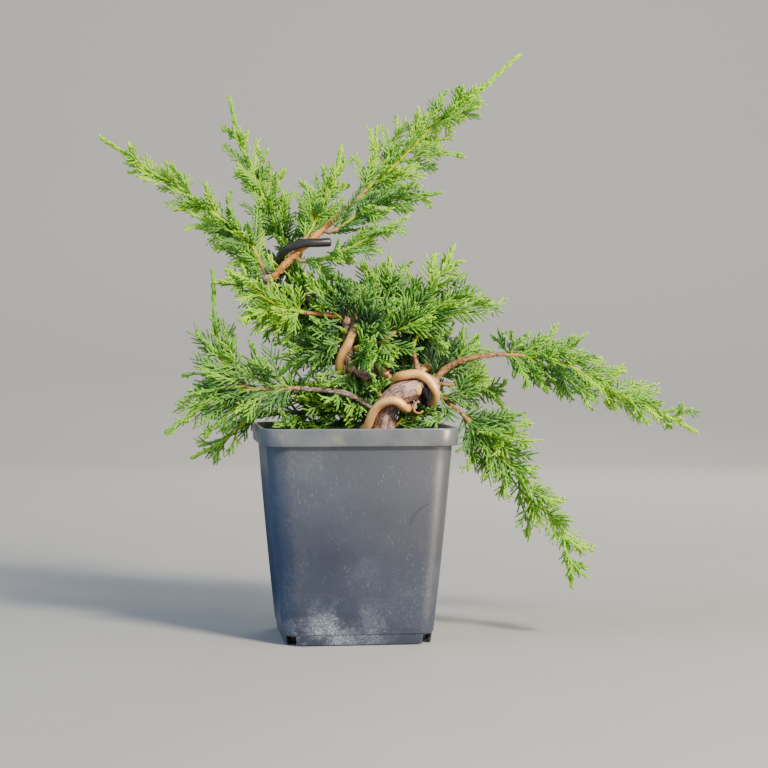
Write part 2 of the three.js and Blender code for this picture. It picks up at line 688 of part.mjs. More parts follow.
Object.entries(grown).forEach(([name, mass], index) => {
  const { stem, shoots } = mass;
  const random = seeded(100 + index);
  const fits = spaceOf(mass);
  const twigs = shoots.map((shoot) => twig(shoot, SHOOT_RADIUS, TWIG_PIECE));
  twigs.push(twig(stem, STEM_RADIUS, STEM_PIECE));
  const blades = [stem, ...shoots].flatMap((shoot) => bladesAlong(shoot, random, fits));
  const joined = wasm.Manifold.union([...twigs, ...blades]).simplify(SMOOTHING);
  addPiece(plant, name, biggestPiece(joined), materials.foliage);
});

export default plant;
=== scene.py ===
import math

import bmesh
import bpy
import numpy as np
from mathutils import Matrix, Vector, noise


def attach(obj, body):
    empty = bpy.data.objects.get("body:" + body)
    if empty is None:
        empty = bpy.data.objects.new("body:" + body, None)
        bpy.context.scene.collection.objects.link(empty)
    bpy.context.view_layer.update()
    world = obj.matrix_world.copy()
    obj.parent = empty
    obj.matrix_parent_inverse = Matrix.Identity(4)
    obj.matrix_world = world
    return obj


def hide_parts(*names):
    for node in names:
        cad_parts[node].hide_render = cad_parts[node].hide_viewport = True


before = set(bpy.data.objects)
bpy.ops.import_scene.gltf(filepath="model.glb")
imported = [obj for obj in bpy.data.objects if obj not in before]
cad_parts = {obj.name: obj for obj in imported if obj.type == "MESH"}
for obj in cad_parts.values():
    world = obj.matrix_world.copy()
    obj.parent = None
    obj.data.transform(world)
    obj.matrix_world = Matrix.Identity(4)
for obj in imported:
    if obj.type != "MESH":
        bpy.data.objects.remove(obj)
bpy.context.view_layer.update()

# Container: a thin-walled square pot, injection moulded in black polypropylene, 11 cm wide and 12 cm
# high. It has a rim band, rounded corners and a low plinth with a drainage notch at each foot corner.
MM = 0.001
POT_TURN = math.radians(7)
IN_PLACE = Matrix.Rotation(POT_TURN, 4, "Z") @ Matrix.Scale(MM, 4)
RIM_TOP = 120
RIM_UNDERSIDE = 110
RIM_HALF = 55
WALL_TOP_HALF = 51.6
BASE_HALF = 41.6
WALL = 1.6
FLOOR_TOP = 2
PLINTH_TOP = 5.4
STEP = 0.6
CORNER_SHARE = 0.25
ARC_STEPS = 12
SIDE_STEPS = 8
WALL_BOW = 0.35
EDGE_BEVEL = 0.28
# Crisp rings: foot, plinth, wall foot and top, rim underside, rim edges, and the ledge inside.
CRISP_RINGS = (0, 1, 2, 12, 13, 15, 16, 18)
NOTCH = (9, 7.3, 5)  # depth, width, height
SOIL_LEVEL = 106


def wall_half(height):
    share = height / RIM_UNDERSIDE
    return BASE_HALF + (WALL_TOP_HALF - BASE_HALF) * share * (1.25 - 0.25 * share)


def rounded_square():
    """The outline of a square with rounded corners, one unit from its middle to its sides."""
    flat = 1 - CORNER_SHARE
    outline = []
    for quarter in range(4):
        turn = Matrix.Rotation(quarter * math.pi / 2, 2)
        for step in range(ARC_STEPS + 1):
            angle = step / ARC_STEPS * math.pi / 2
            corner = Vector((flat + CORNER_SHARE * math.cos(angle), flat + CORNER_SHARE * math.sin(angle)))
            outline.append(turn @ corner)
        for step in range(1, SIDE_STEPS):
            outline.append(turn @ Vector((flat - 2 * flat * step / SIDE_STEPS, 1)))
    return outline


def new_object(name, data):
    made = bpy.data.objects.new(name, data)
    bpy.context.scene.collection.objects.link(made)
    return made


def new_piece(name, mesh, material, slot):
    piece = new_object(name, mesh)
    mesh.materials.clear()
    mesh.materials.append(material)
    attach(piece, "root")
    return piece


def finished_mesh(bm, name, smooth_below=None):
    mesh = bpy.data.meshes.new(name)
    bm.to_mesh(mesh)
    bm.free()
    mesh.shade_smooth()
    if smooth_below:
        mesh.set_sharp_from_angle(angle=math.radians(smooth_below))
    return mesh


def extruded(bm, edges):
    """Extrudes edges, and gives the new vertices and the edges between them."""
    made = bmesh.ops.extrude_edge_only(bm, edges=edges)["geom"]
    verts = [item for item in made if isinstance(item, bmesh.types.BMVert)]
    edges = [item for item in made if isinstance(item, bmesh.types.BMEdge)]
    return verts, [edge for edge in edges if all(vert in verts for vert in edge.verts)]


def loft(bm, levels, bow):
    """Rings of the rounded square, each extruded from the last, at [height, half width]."""
    outline = rounded_square()
    turns = [math.atan2(place.y, place.x) % (2 * math.pi) for place in outline]
    start = turns.index(min(turns))
    ring = bmesh.ops.create_circle(bm, segments=len(outline), radius=1)["verts"]
    edges = list({edge for vert in ring for edge in vert.link_edges})
    rings = []
    for number, (height, half) in enumerate(levels):
        if number:
            ring, edges = extruded(bm, edges)
        ring.sort(key=lambda vert: math.atan2(vert.co.y, vert.co.x) % (2 * math.pi))
        for vert, place in zip(ring, outline[start:] + outline[:start]):
            dent = bow * math.sin(math.pi * min(height / RIM_UNDERSIDE, 1)) * (1 - min(map(abs, place)) ** 2)
            vert.co = Vector((place.x, place.y, 0)) * (half - dent)
            vert.co.z = height
        rings.append(edges)
    return rings


wall_heights = [PLINTH_TOP + STEP + (RIM_UNDERSIDE - PLINTH_TOP - STEP) * i / 10 for i in range(11)]
outer_levels = [
    [0, BASE_HALF - STEP],
    [PLINTH_TOP, wall_half(PLINTH_TOP) - STEP],
    *[[height, wall_half(height)] for height in wall_heights],
    [RIM_UNDERSIDE + 0.3, RIM_HALF - STEP],
    [RIM_TOP - 1, RIM_HALF],
    [RIM_TOP, RIM_HALF - 0.2],
]
inner_levels = [
    [RIM_TOP, RIM_HALF - STEP - WALL],
    [RIM_UNDERSIDE + WALL + 1, RIM_HALF - 2 * STEP - WALL],
    [RIM_UNDERSIDE + WALL - 1, WALL_TOP_HALF - WALL],
    *[[height, wall_half(height) - WALL] for height in reversed(wall_heights[:-1])],
    [FLOOR_TOP, BASE_HALF - STEP - WALL],
]
bm = bmesh.new()
pot_rings = loft(bm, outer_levels + inner_levels, WALL_BOW)
for edges in (pot_rings[0], pot_rings[-1]):
    bmesh.ops.holes_fill(bm, edges=edges, sides=0)
crisp = [edge for ring in CRISP_RINGS for edge in pot_rings[ring]]
bmesh.ops.bevel(
    bm, geom=crisp, offset=EDGE_BEVEL, offset_type="OFFSET", affect="EDGES", segments=3, profile=0.5,
    material=-1,
)
bmesh.ops.recalc_face_normals(bm, faces=bm.faces)
bmesh.ops.transform(bm, matrix=IN_PLACE, verts=bm.verts)
pot_mesh = finished_mesh(bm, "nursery_container", 40)

bm = bmesh.new()
reach = BASE_HALF * (1 - CORNER_SHARE) * math.sqrt(2) + BASE_HALF * CORNER_SHARE
for corner in range(4):
    box = bmesh.ops.create_cube(bm, size=2)["verts"]
    size = Matrix.Diagonal((NOTCH[0], NOTCH[1] / 2, NOTCH[2], 1))
    turn = Matrix.Rotation(math.pi / 4 + corner * math.pi / 2 + POT_TURN, 4, "Z")
    out = Matrix.Translation((reach, 0, 0))
    bmesh.ops.transform(bm, matrix=Matrix.Scale(MM, 4) @ turn @ out @ size, verts=box)
notches = new_object("foot_notches", finished_mesh(bm, "foot_notches"))


def cut_away(mesh, tool):
    """The mesh less the tool, which is then removed."""
    whole = new_object("uncut", mesh)
    cut = whole.modifiers.new("cut", "BOOLEAN")
    cut.object = tool
    cut.operation = "DIFFERENCE"
    cut.solver = "EXACT"
    bpy.context.view_layer.update()
    done = bpy.data.meshes.new_from_object(whole.evaluated_get(bpy.context.evaluated_depsgraph_get()))
    for spent in (whole, tool):
        bpy.data.objects.remove(spent)
    return done


def put(tree, kind, settings=(), links=()):
    """Adds a node; settings are its own values, links are its inputs, as values or as sockets."""
    made = tree.nodes.new(kind)
    for key, value in dict(settings).items():
        setattr(made, key, value)
    for key, value in dict(links).items():
        if isinstance(value, bpy.types.NodeSocket):
            tree.links.new(value, made.inputs[key])
        else:
            made.inputs[key].default_value = value
    return made


def mixed(tree, factor, first, second):
    """From one to another, each a socket or a colour's red, green and blue."""
    first, second = ((*tone, 1) if isinstance(tone, tuple) else tone for tone in (first, second))
    return put(tree, "ShaderNodeMix", {"data_type": "RGBA"}, {0: factor, 6: first, 7: second}).outputs[2]


def spread(tree, value, low, high, new_low=0.0, new_high=1.0):
    links = {0: value, 1: low, 2: high, 3: new_low, 4: new_high}
    return put(tree, "ShaderNodeMapRange", {}, links).outputs[0]


def product(tree, first, second):
    return put(tree, "ShaderNodeMath", {"operation": "MULTIPLY"}, {0: first, 1: second}).outputs[0]


def axes_of(tree, place):
    return put(tree, "ShaderNodeSeparateXYZ", {}, {0: place}).outputs


def stretched(tree, place, scale):
    return put(tree, "ShaderNodeMapping", {}, {"Vector": place, "Scale": scale}).outputs[0]


def cloudy(tree, place, scale, detail=4.0, roughness=0.55):
    links = {"Vector": place, "Scale": scale, "Detail": detail, "Roughness": roughness}
    return put(tree, "ShaderNodeTexNoise", {}, links).outputs[0]


def new_material(name, **plain):
    """A Principled material; plain numbers go straight onto its sockets."""
    material = bpy.data.materials.new(name)
    material.use_nodes = True
    shader = material.node_tree.nodes["Principled BSDF"]
    for key, value in plain.items():
        shader.inputs[key.replace("_", " ")].default_value = value
    place = put(material.node_tree, "ShaderNodeTexCoord").outputs["Object"]
    return material, material.node_tree, shader, place


def join_up(tree, shader, colour, roughness=None, height=None, strength=0.3, distance=0.0002):
    tree.links.new(colour, shader.inputs["Base Color"])
    if roughness is not None:
        tree.links.new(roughness, shader.inputs["Roughness"])
    if height is not None:
        bump = put(tree, "ShaderNodeBump", {}, {"Strength": strength, "Distance": distance, "Height": height})
        tree.links.new(bump.outputs[0], shader.inputs["Normal"])


def effect_group(name, inputs, outputs):
    """An empty shader node group with float, vector or colour sockets."""
    kinds = {"value": "NodeSocketFloat", "place": "NodeSocketVector", "colour": "NodeSocketColor"}
    group = bpy.data.node_groups.new(name, "ShaderNodeTree")
    for label, kind in inputs:
        group.interface.new_socket(name=label, in_out="INPUT", socket_type=kinds[kind])
    for label, kind in outputs:
        group.interface.new_socket(name=label, in_out="OUTPUT", socket_type=kinds[kind])
    return group, group.nodes.new("NodeGroupInput").outputs, group.nodes.new("NodeGroupOutput").inputs


def use_group(tree, group, links):
    return put(tree, "ShaderNodeGroup", {"node_tree": group}, links).outputs


# Dust that has settled on the container and the wires: a patchy haze, finely speckled.
settled_dust, given, results = effect_group(
    "settled_dust", [("Place", "place"), ("Size", "value"), ("Amount", "value")], [("Haze", "value")]
)
broad = cloudy(settled_dust, given["Place"], given["Size"], 5.0, 0.6)
patchy = spread(settled_dust, broad, 0.3, 0.72, 0.35, 1.0)
fine = cloudy(settled_dust, given["Place"], product(settled_dust, given["Size"], 9.0), 3.0, 0.7)
speckled = product(settled_dust, patchy, spread(settled_dust, fine, 0.2, 0.8, 0.75, 1.1))
settled_dust.links.new(product(settled_dust, speckled, given["Amount"]), results["Haze"])

plastic, tree, shader, place = new_material("dusty_black_plastic", Specular_IOR_Level=0.5)
dust = use_group(tree, settled_dust, {"Place": place, "Size": 24.0, "Amount": 0.62})

# What lies on the plastic: powder, smears, lime and stains. It is also lighter towards the top and the right
# side, and its front-left corner has painted blue light, standing in for cool light on its shaded side.
# Places on it are in metres.
along_x, along_y, height = axes_of(tree, place)
under_rim = product(tree, spread(tree, height, 0.05, 0.108), 0.33)
powder = spread(tree, cloudy(tree, place, 700.0, 3.0, 0.7), 0.36, 0.64, 0.05, 1.0)
smears = product(tree, spread(tree, cloudy(tree, place, 19.0, 6.0, 0.6), 0.5, 0.72, 0.0, 0.26), powder)
# Lighter towards the right side and above the foot.
lighter_right_side = product(tree, spread(tree, along_x, -0.01, 0.046, 0.0, 0.3), spread(tree, height, 0.015, 0.06))
# Painted light: a blue cast on the front-left corner, standing in for the cool light on its shaded side.
painted_blue_light = product(tree, spread(tree, along_x, -0.032, -0.042, 0.0, 0.34), spread(tree, height, 0.108, 0.08))
painted_blue_light = product(tree, painted_blue_light, spread(tree, along_y, -0.018, -0.03))
rim_haze = spread(tree, cloudy(tree, place, 60.0), 0.35, 0.7, 0.15, 0.55)
rim_haze = product(tree, spread(tree, height, 0.1085, 0.111), rim_haze)
specks = spread(tree, cloudy(tree, place, 1300.0, 2.0, 0.6), 0.69, 0.74, 0.0, 0.33)
low_down = product(tree, spread(tree, height, 0.03, 0.008), spread(tree, along_x, 0.03, -0.005, 0.08, 1.0))
beside = put(tree, "ShaderNodeMapping", {}, {"Vector": place, "Location": (0.024, 0.0, 0.0)}).outputs[0]
lime = product(tree, spread(tree, cloudy(tree, beside, 62.0, 7.0, 0.66), 0.47, 0.68, 0.0, 0.85), low_down)
lime = product(tree, lime, spread(tree, cloudy(tree, place, 1500.0, 2.0, 0.7), 0.42, 0.6, 0.1, 1.0))
stain = spread(tree, cloudy(tree, place, 38.0, 3.0), 0.6, 0.7, 0.0, 0.6)
stain = product(tree, spread(tree, height, 0.1, 0.118), stain)


def hairlines(turn, size):
    """Fine straight scratches that run one way, in patches."""
    links = {"Vector": place, "Rotation": turn, "Scale": (1.0, 1.0, 0.035)}
    turned = put(tree, "ShaderNodeMapping", {}, links).outputs[0]
    lines = spread(tree, cloudy(tree, turned, size, 1.0), 0.73, 0.755, 0.0, 0.5)
    return product(tree, lines, spread(tree, cloudy(tree, place, 45.0, 3.0), 0.5, 0.6))


# The container's front has one hairline crack, an arc of a circle.
CRACK_MIDDLE, CRACK_RADIUS = (0.0477, 0.0, 0.0631), 0.0156
upright = put(tree, "ShaderNodeCombineXYZ", {}, {0: along_x, 2: height}).outputs[0]
links = {0: upright, 1: CRACK_MIDDLE}
away = put(tree, "ShaderNodeVectorMath", {"operation": "DISTANCE"}, links).outputs["Value"]
off_line = put(tree, "ShaderNodeMath", {"operation": "SUBTRACT"}, {0: away, 1: CRACK_RADIUS}).outputs[0]
off_line = put(tree, "ShaderNodeMath", {"operation": "ABSOLUTE"}, {0: off_line}).outputs[0]
in_front = product(tree, spread(tree, height, 0.0655, 0.067), spread(tree, along_y, -0.02, -0.03))
crack = spread(tree, off_line, 0.00028, 0.0001, 0.0, 0.8)
crack = product(tree, crack, spread(tree, along_x, 0.0436, 0.0428))

layers = [
    (under_rim, (0.14, 0.15, 0.165)),
    (smears, (0.26, 0.28, 0.33)),
    (lighter_right_side, (0.135, 0.13, 0.13)),
    (painted_blue_light, (0.06, 0.1, 0.17)),
    (rim_haze, (0.2, 0.21, 0.21)),
    (specks, (0.42, 0.44, 0.48)),
    (lime, (0.43, 0.475, 0.56)),
    (stain, (0.3, 0.27, 0.13)),
    (hairlines((0.0, 0.3, 0.0), 2400.0), (0.4, 0.42, 0.45)),
    (hairlines((0.0, 1.2, 0.0), 2200.0), (0.4, 0.42, 0.45)),
    (hairlines((0.0, -0.9, 0.3), 2600.0), (0.4, 0.42, 0.45)),
    (product(tree, crack, in_front), (0.01, 0.01, 0.012)),
]
colour = mixed(tree, dust["Haze"], (0.014, 0.0195, 0.036), (0.052, 0.064, 0.107))
for share, tone in layers:
    colour = mixed(tree, share, colour, tone)
gloss = spread(tree, dust["Haze"], 0.1, 0.7, 0.3, 0.46)
pebble = cloudy(tree, place, 900.0, 2.0, 0.5)
warp = cloudy(tree, place, 35.0, 2.0, 0.5)
join_up(tree, shader, colour, gloss, mixed(tree, 0.85, pebble, warp), 0.3, 0.0005)
container = new_piece("nursery_container", cut_away(pot_mesh, notches), plastic, "container")
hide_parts("container")

# Soil: a dark crumbly potting mix of peat, bark and a little grit, which fills the container to
# 14 mm below its rim. The crumbs lie loose on it.
CLEAR = 0.3
SOIL_GAP = 0.6
SOIL_CELLS = 72
CRUMBS = 1500
CRUMB_SIZES = (0.5, 2.1)
chance = np.random.default_rng(11)
soil_half = wall_half(SOIL_LEVEL) - WALL - SOIL_GAP
soil_foot_half = BASE_HALF - STEP - WALL - SOIL_GAP


def into_rounded_square(x, y):
    """Moves a point of the unit square so that the square's corners become round."""
    flat = 1 - CORNER_SHARE
    over_x = abs(x) - flat
    over_y = abs(y) - flat
    if over_x <= 0 or over_y <= 0:
        return x, y
    pull = max(over_x, over_y) / math.hypot(over_x, over_y)
    return math.copysign(flat + over_x * pull, x), math.copysign(flat + over_y * pull, y)


def soil_height(x, y):
    lumps = noise.fractal(Vector((x, y, 0)) * 0.16, 0.8, 2.1, 5)
    return SOIL_LEVEL - 0.9 + 1.1 * lumps


bm = bmesh.new()
bmesh.ops.create_grid(bm, x_segments=SOIL_CELLS, y_segments=SOIL_CELLS, size=1)
for vert in bm.verts:
    x, y = into_rounded_square(vert.co.x, vert.co.y)
    vert.co = (x * soil_half, y * soil_half, soil_height(x * soil_half, y * soil_half))
border = [edge for edge in bm.edges if edge.is_boundary]
shrink = soil_foot_half / soil_half
for vert in extruded(bm, border)[0]:
    vert.co = (vert.co.x * shrink, vert.co.y * shrink, FLOOR_TOP + CLEAR)
bmesh.ops.holes_fill(bm, edges=[edge for edge in bm.edges if edge.is_boundary], sides=0)
bmesh.ops.recalc_face_normals(bm, faces=bm.faces)
bmesh.ops.transform(bm, matrix=IN_PLACE, verts=bm.verts)
soil_mesh = finished_mesh(bm, "potting_mix")


def joined_mesh(name, places, triangles):
    """A mesh from arrays of places, in millimetres, and of triangles."""
    mesh = bpy.data.meshes.new(name)
    mesh.vertices.add(len(places))
    mesh.vertices.foreach_set("co", np.ascontiguousarray(places * MM, dtype=np.float32).ravel())
    mesh.loops.add(triangles.size)
    mesh.loops.foreach_set("vertex_index", np.ascontiguousarray(triangles, dtype=np.int32).ravel())
    mesh.polygons.add(len(triangles))
    mesh.polygons.foreach_set("loop_start", np.arange(0, triangles.size, 3, dtype=np.int32))
    mesh.update(calc_edges=True)
    mesh.shade_smooth()
    return mesh


def between(ends, share):
    return ends[0] + (ends[1] - ends[0]) * share


def crumb_arrays():
    """Small lumps, each a little different, strewn over the soil."""
    bm = bmesh.new()
    bmesh.ops.create_icosphere(bm, subdivisions=1, radius=1)
    bm.verts.ensure_lookup_table()
    lump = np.array([vert.co for vert in bm.verts])
    corners = np.array([[vert.index for vert in face.verts] for face in bm.faces])
    bm.free()
    sizes = between(CRUMB_SIZES, chance.random(CRUMBS) ** 3)
    flat = chance.uniform(-0.97, 0.97, (CRUMBS, 2)) * (soil_half - 1.5)
    flat = np.array([into_rounded_square(*(p / soil_half)) for p in flat]) * soil_half
    heights = np.array([soil_height(x, y) for x, y in flat]) + 0.25 * sizes
    stretch = chance.uniform(0.55, 1.1, (CRUMBS, 1, 3)) * sizes[:, None, None]
    shape = lump[None] * stretch * chance.uniform(0.8, 1.15, (CRUMBS, len(lump), 1))
    x, y = flat.T
    cosine, sine = math.cos(POT_TURN), math.sin(POT_TURN)
    middles = np.stack([x * cosine - y * sine, x * sine + y * cosine, heights], 1)
    triangles = corners[None] + (np.arange(CRUMBS) * len(lump))[:, None, None]
    return (shape + middles[:, None]).reshape(-1, 3), triangles.reshape(-1, 3)


def soil_material(name, dark, light, scale):
    material, tree, shader, place = new_material(name, Specular_IOR_Level=0.25)
    clods = cloudy(tree, place, scale, 6.0, 0.65)
    colour = mixed(tree, spread(tree, clods, 0.35, 0.7), dark, light)
    fibres = spread(tree, cloudy(tree, stretched(tree, place, (1, 3, 2)), scale * 3), 0.62, 0.72)
    colour = mixed(tree, product(tree, fibres, 0.5), colour, (0.11, 0.07, 0.04))
    join_up(tree, shader, colour, spread(tree, clods, 0.3, 0.7, 0.8, 1.0), clods, 0.9, 0.0012)
    return material


damp_mix = soil_material("damp_potting_mix", (0.011, 0.008, 0.006), (0.045, 0.03, 0.02), 260.0)
crumbled = soil_material("crumbled_potting_mix", (0.018, 0.012, 0.009), (0.075, 0.05, 0.032), 150.0)
soil = new_piece("potting_mix", soil_mesh, damp_mix, "soil")
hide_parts("soil")
new_piece("soil_crumbs", joined_mesh("soil_crumbs", *crumb_arrays()), crumbled, "soil")

# Trunk: one bent stem about 15 mm thick at the soil, with purplish grey-brown bark that lifts in thin
# strips. It leans right, doubles back behind itself and climbs to a knuckle at the upper left.
FRAMES = 400
TRUNK_RADII = (7.2, 2.4)
ROOT_FLARE = 3.4
FLARE_HEIGHT = 6
TRUNK_POINTS = [
    (16, 0, 106.3), (16, 0, 109), (17.5, 0, 117), (19, -2.5, 128), (26, -5.5, 137), (36, -5, 141),
    (45, 4, 142), (43, 16, 145), (30, 22, 148), (15, 19, 149), (3, 11, 150), (-2, 5, 157), (-2, 3, 168),
    (-3, 3, 179), (-10, 5, 187), (-25, 9, 191), (-39, 8, 195), (-47, 2, 199), (-49, -4, 205),
]


def unit(vectors):
    return vectors / np.maximum(np.linalg.norm(vectors, axis=-1, keepdims=True), 1e-12)


class Path:
    """A centripetal Catmull-Rom curve through points, as the source's curves are."""

    def __init__(self, points):
        self.points = np.asarray(points, float)
        self.measure()

    def measure(self):
        self.steps = np.linspace(0, 1, 201)
        pieces = np.linalg.norm(np.diff(self.place(self.steps), axis=0), axis=1)
        self.reached = np.concatenate([[0], np.cumsum(pieces)])
        self.length = self.reached[-1]

    def place(self, t):
        points = self.points
        ends = np.concatenate([[2 * points[0] - points[1]], points, [2 * points[-1] - points[-2]]])
        spot = np.asarray(t, float) * (len(points) - 1)
        first = np.clip(np.floor(spot).astype(int), 0, len(points) - 2)
        w = (spot - first)[..., None]
        p0, p1, p2, p3 = (ends[first + i] for i in range(4))
        pairs = ((p0, p1), (p1, p2), (p2, p3))
        d0, d1, d2 = (np.linalg.norm(b - a, axis=-1, keepdims=True) ** 0.5 for a, b in pairs)
        t1 = ((p1 - p0) / d0 - (p2 - p0) / (d0 + d1) + (p2 - p1) / d1) * d1
        t2 = ((p2 - p1) / d1 - (p3 - p1) / (d1 + d2) + (p3 - p2) / d2) * d1
        square = -3 * p1 + 3 * p2 - 2 * t1 - t2
        cube = 2 * p1 - 2 * p2 + t1 + t2
        return p1 + w * (t1 + w * (square + w * cube))

    def step_at(self, share):
        return np.interp(np.asarray(share, float) * self.length, self.reached, self.steps)

    def at(self, share):
        return self.place(self.step_at(share))

    def along(self, share):
        t = self.step_at(share)
        return unit(self.place(np.minimum(t + 1e-4, 1)) - self.place(np.maximum(t - 1e-4, 0)))

    def spaced(self, pieces):
        return self.at(np.linspace(0, 1, pieces + 1))


def sides_of(path):
    """Two directions square to the path at even stations, carried along it without twisting."""
    tangents = path.along(np.linspace(0, 1, FRAMES + 1))
    lowest = len(tangents[0]) - 1 - np.argmin(np.abs(tangents[0])[::-1])
    across = unit(np.cross(tangents[0], np.eye(3)[lowest]))
    normals = [np.cross(tangents[0], across)]
    for before, after in zip(tangents, tangents[1:]):
        hinge = np.cross(before, after)
        angle = math.acos(np.clip(before @ after, -1, 1))
        turns = np.linalg.norm(hinge) > 1e-9
        turn = Matrix.Rotation(angle, 3, Vector(hinge)) if turns else Matrix.Identity(3)
        normals.append(np.array(turn @ Vector(normals[-1])))
    normals = np.array(normals)
    return normals, np.cross(tangents, normals)


def at_station(directions, share):
    station = np.asarray(share) * FRAMES
    below = np.clip(np.floor(station).astype(int), 0, FRAMES - 1)
    part = (station - below)[..., None]
    return unit(directions[below] * (1 - part) + directions[below + 1] * part)


def outward(sides, share, angle):
    """Directions square to a path, at shares along it and angles round it."""
    normals, binormals = (at_station(directions, share) for directions in sides)
    return normals * np.cos(angle)[..., None] + binormals * np.sin(angle)[..., None]


def round_limb(angle, radius, height):
    """Places on a limb that is straight and upright."""
    return np.stack([np.cos(angle) * radius, np.sin(angle) * radius, height], 1)


def limb_mesh(name, path, skin, sides, rings):
    """A tube along a path. skin gives the radius at shares along it and angles round it. The mesh
    keeps its place on the straightened limb, for patterns that follow it."""
    bm = bmesh.new()
    bmesh.ops.create_cone(bm, cap_ends=True, segments=sides, radius1=1, radius2=1, depth=1)
    lengthwise = [edge for edge in bm.edges if abs(edge.verts[0].co.z - edge.verts[1].co.z) > 0.5]
    bmesh.ops.subdivide_edges(bm, edges=lengthwise, cuts=rings - 1, use_grid_fill=True)
    bmesh.ops.triangulate(bm, faces=[face for face in bm.faces if len(face.verts) > 4])
    mesh = finished_mesh(bm, name, 60)
    flat = np.empty(len(mesh.vertices) * 3)
    mesh.vertices.foreach_get("co", flat)
    flat = flat.reshape(-1, 3)
    share = np.clip(flat[:, 2] + 0.5, 0, 1)
    angle = np.arctan2(flat[:, 1], flat[:, 0])
    radius = skin(share, angle)
    places = path.at(share) + outward(sides_of(path), share, angle) * radius[:, None]
    mesh.vertices.foreach_set("co", (places * MM).astype(np.float32).ravel())
    straight = round_limb(angle, radius, share * path.length)
    kept = mesh.attributes.new("straightened", "FLOAT_VECTOR", "POINT")
    kept.data.foreach_set("vector", straight.astype(np.float32).ravel())
    mesh.update()
    return mesh


def fractal(places, octaves):
    return np.array([noise.fractal(Vector(place), 0.9, 2.0, octaves) for place in places])


def flaky(share, angle, radius, length, strip):
    """Relief of bark that splits into lengthwise strips: plates with dropped edges, and fissures."""
    round_place = round_limb(angle, radius, share * length / 6) / strip
    plates = fractal(round_place + 7.1, 3)
    steps = np.floor(plates * 5) / 5 + np.clip((plates * 5) % 1 * 4, 0, 1) / 5
    fissures = 1 - np.clip(np.abs(fractal(round_place * 1.7 + 31.0, 3)) * 7, 0, 1)
    return 0.5 * steps - 0.32 * fissures + 0.16 * fractal(round_place * 4, 2)


def trunk_radius(share, angle=0.0):
    taper = TRUNK_RADII[1] + (TRUNK_RADII[0] - TRUNK_RADII[1]) * (1 - share) ** 1.3
    flare = ROOT_FLARE * np.exp(-share * trunk.length / FLARE_HEIGHT)
    return taper + flare * (0.8 + 0.2 * np.cos(3 * angle))


def rounded_tip(share, length, reach, least):
    """How the radius falls over a limb's last millimetres, so that it ends round."""
    past = ((share * length - length + reach) / reach).clip(0, 1)
    return np.sqrt(np.clip(1 - past**2, least, 1))


def trunk_skin(share, angle):
    plain = trunk_radius(share, angle)
    swell = 0.05 * fractal(round_limb(angle, 1, share * 14) * 0.9, 2)
    relief = flaky(share, angle, plain, trunk.length, 2.1) * (0.4 + 0.6 * plain / TRUNK_RADII[0])
    return (plain * (1 + swell) + 0.75 * relief) * rounded_tip(share, trunk.length, 2.0, 0.02)


# Bark colour follows the straightened limb: strips of two tones, pale lifted edges, dark fissures.
bark_tones, given, results = effect_group(
    "bark_tones",
    [("Place", "place"), ("Strip", "value"), ("Ground", "colour"), ("Pale", "colour"), ("Dark", "colour")],
    [("Colour", "colour"), ("Relief", "value")],
)
lengthwise = stretched(bark_tones, given["Place"], (1, 1, 0.16))
strips = cloudy(bark_tones, lengthwise, given["Strip"], 6.0, 0.62)
drawn_out = stretched(bark_tones, given["Place"], (1, 1, 0.5))
patches = cloudy(bark_tones, drawn_out, product(bark_tones, given["Strip"], 0.35), 3.0)
flecks = cloudy(bark_tones, given["Place"], product(bark_tones, given["Strip"], 5.0), 2.0)
tone = mixed(bark_tones, spread(bark_tones, strips, 0.5, 0.66), given["Ground"], given["Pale"])
tone = mixed(bark_tones, spread(bark_tones, strips, 0.44, 0.36), tone, given["Dark"])
tone = mixed(bark_tones, spread(bark_tones, patches, 0.5, 0.62, 0.0, 0.55), tone, given["Pale"])
tone = mixed(bark_tones, spread(bark_tones, flecks, 0.62, 0.72, 0.0, 0.5), tone, given["Dark"])
bark_tones.links.new(tone, results["Colour"])
bark_tones.links.new(mixed(bark_tones, 0.25, strips, flecks), results["Relief"])


def plates_on(tree, place, colour, relief, pale, dark):
    """Plates of a few millimetres, each of its own tone, with dark edges where they lift."""
    shaken = put(tree, "ShaderNodeTexNoise", {}, {"Vector": place, "Scale": 0.6}).outputs["Color"]
    flat = stretched(tree, place, (1, 1, 0.55))
    links = {0: shaken, 1: (4.0, 4.0, 4.0), 2: flat}
    moved = put(tree, "ShaderNodeVectorMath", {"operation": "MULTIPLY_ADD"}, links).outputs[0]
    where = {"Vector": moved, "Scale": 0.34}
    cells = put(tree, "ShaderNodeTexVoronoi", {}, where).outputs["Color"]
    own_tone = axes_of(tree, cells)[0]
    from_edge = put(tree, "ShaderNodeTexVoronoi", {"feature": "DISTANCE_TO_EDGE"}, where).outputs["Distance"]
    colour = mixed(tree, spread(tree, own_tone, 0.4, 0.8, 0.0, 0.6), colour, pale)
    colour = mixed(tree, spread(tree, own_tone, 0.3, 0.05, 0.0, 0.5), colour, dark)
    colour = mixed(tree, spread(tree, from_edge, 0.09, 0.02, 0.0, 0.75), colour, dark)
    return colour, mixed(tree, 0.5, relief, spread(tree, from_edge, 0.0, 0.12))


def straightened(tree):
    return put(tree, "ShaderNodeAttribute", {"attribute_name": "straightened"}).outputs["Vector"]


def bark_material(name, strip, ground, pale, dark, roughness, plated=False):
    material, tree, shader, _ = new_material(name, Specular_IOR_Level=0.3)
    place = straightened(tree)
    links = {"Place": place, "Strip": strip, "Ground": (*ground, 1), "Pale": (*pale, 1), "Dark": (*dark, 1)}
    tones = use_group(tree, bark_tones, links)
    gloss = spread(tree, tones["Relief"], 0.3, 0.7, roughness + 0.1, roughness - 0.08)
    colour, relief = tones["Colour"], tones["Relief"]
    if plated:
        colour, relief = plates_on(tree, place, colour, relief, pale, dark)
    join_up(tree, shader, colour, gloss, relief, 0.8, 0.0005)
    return material


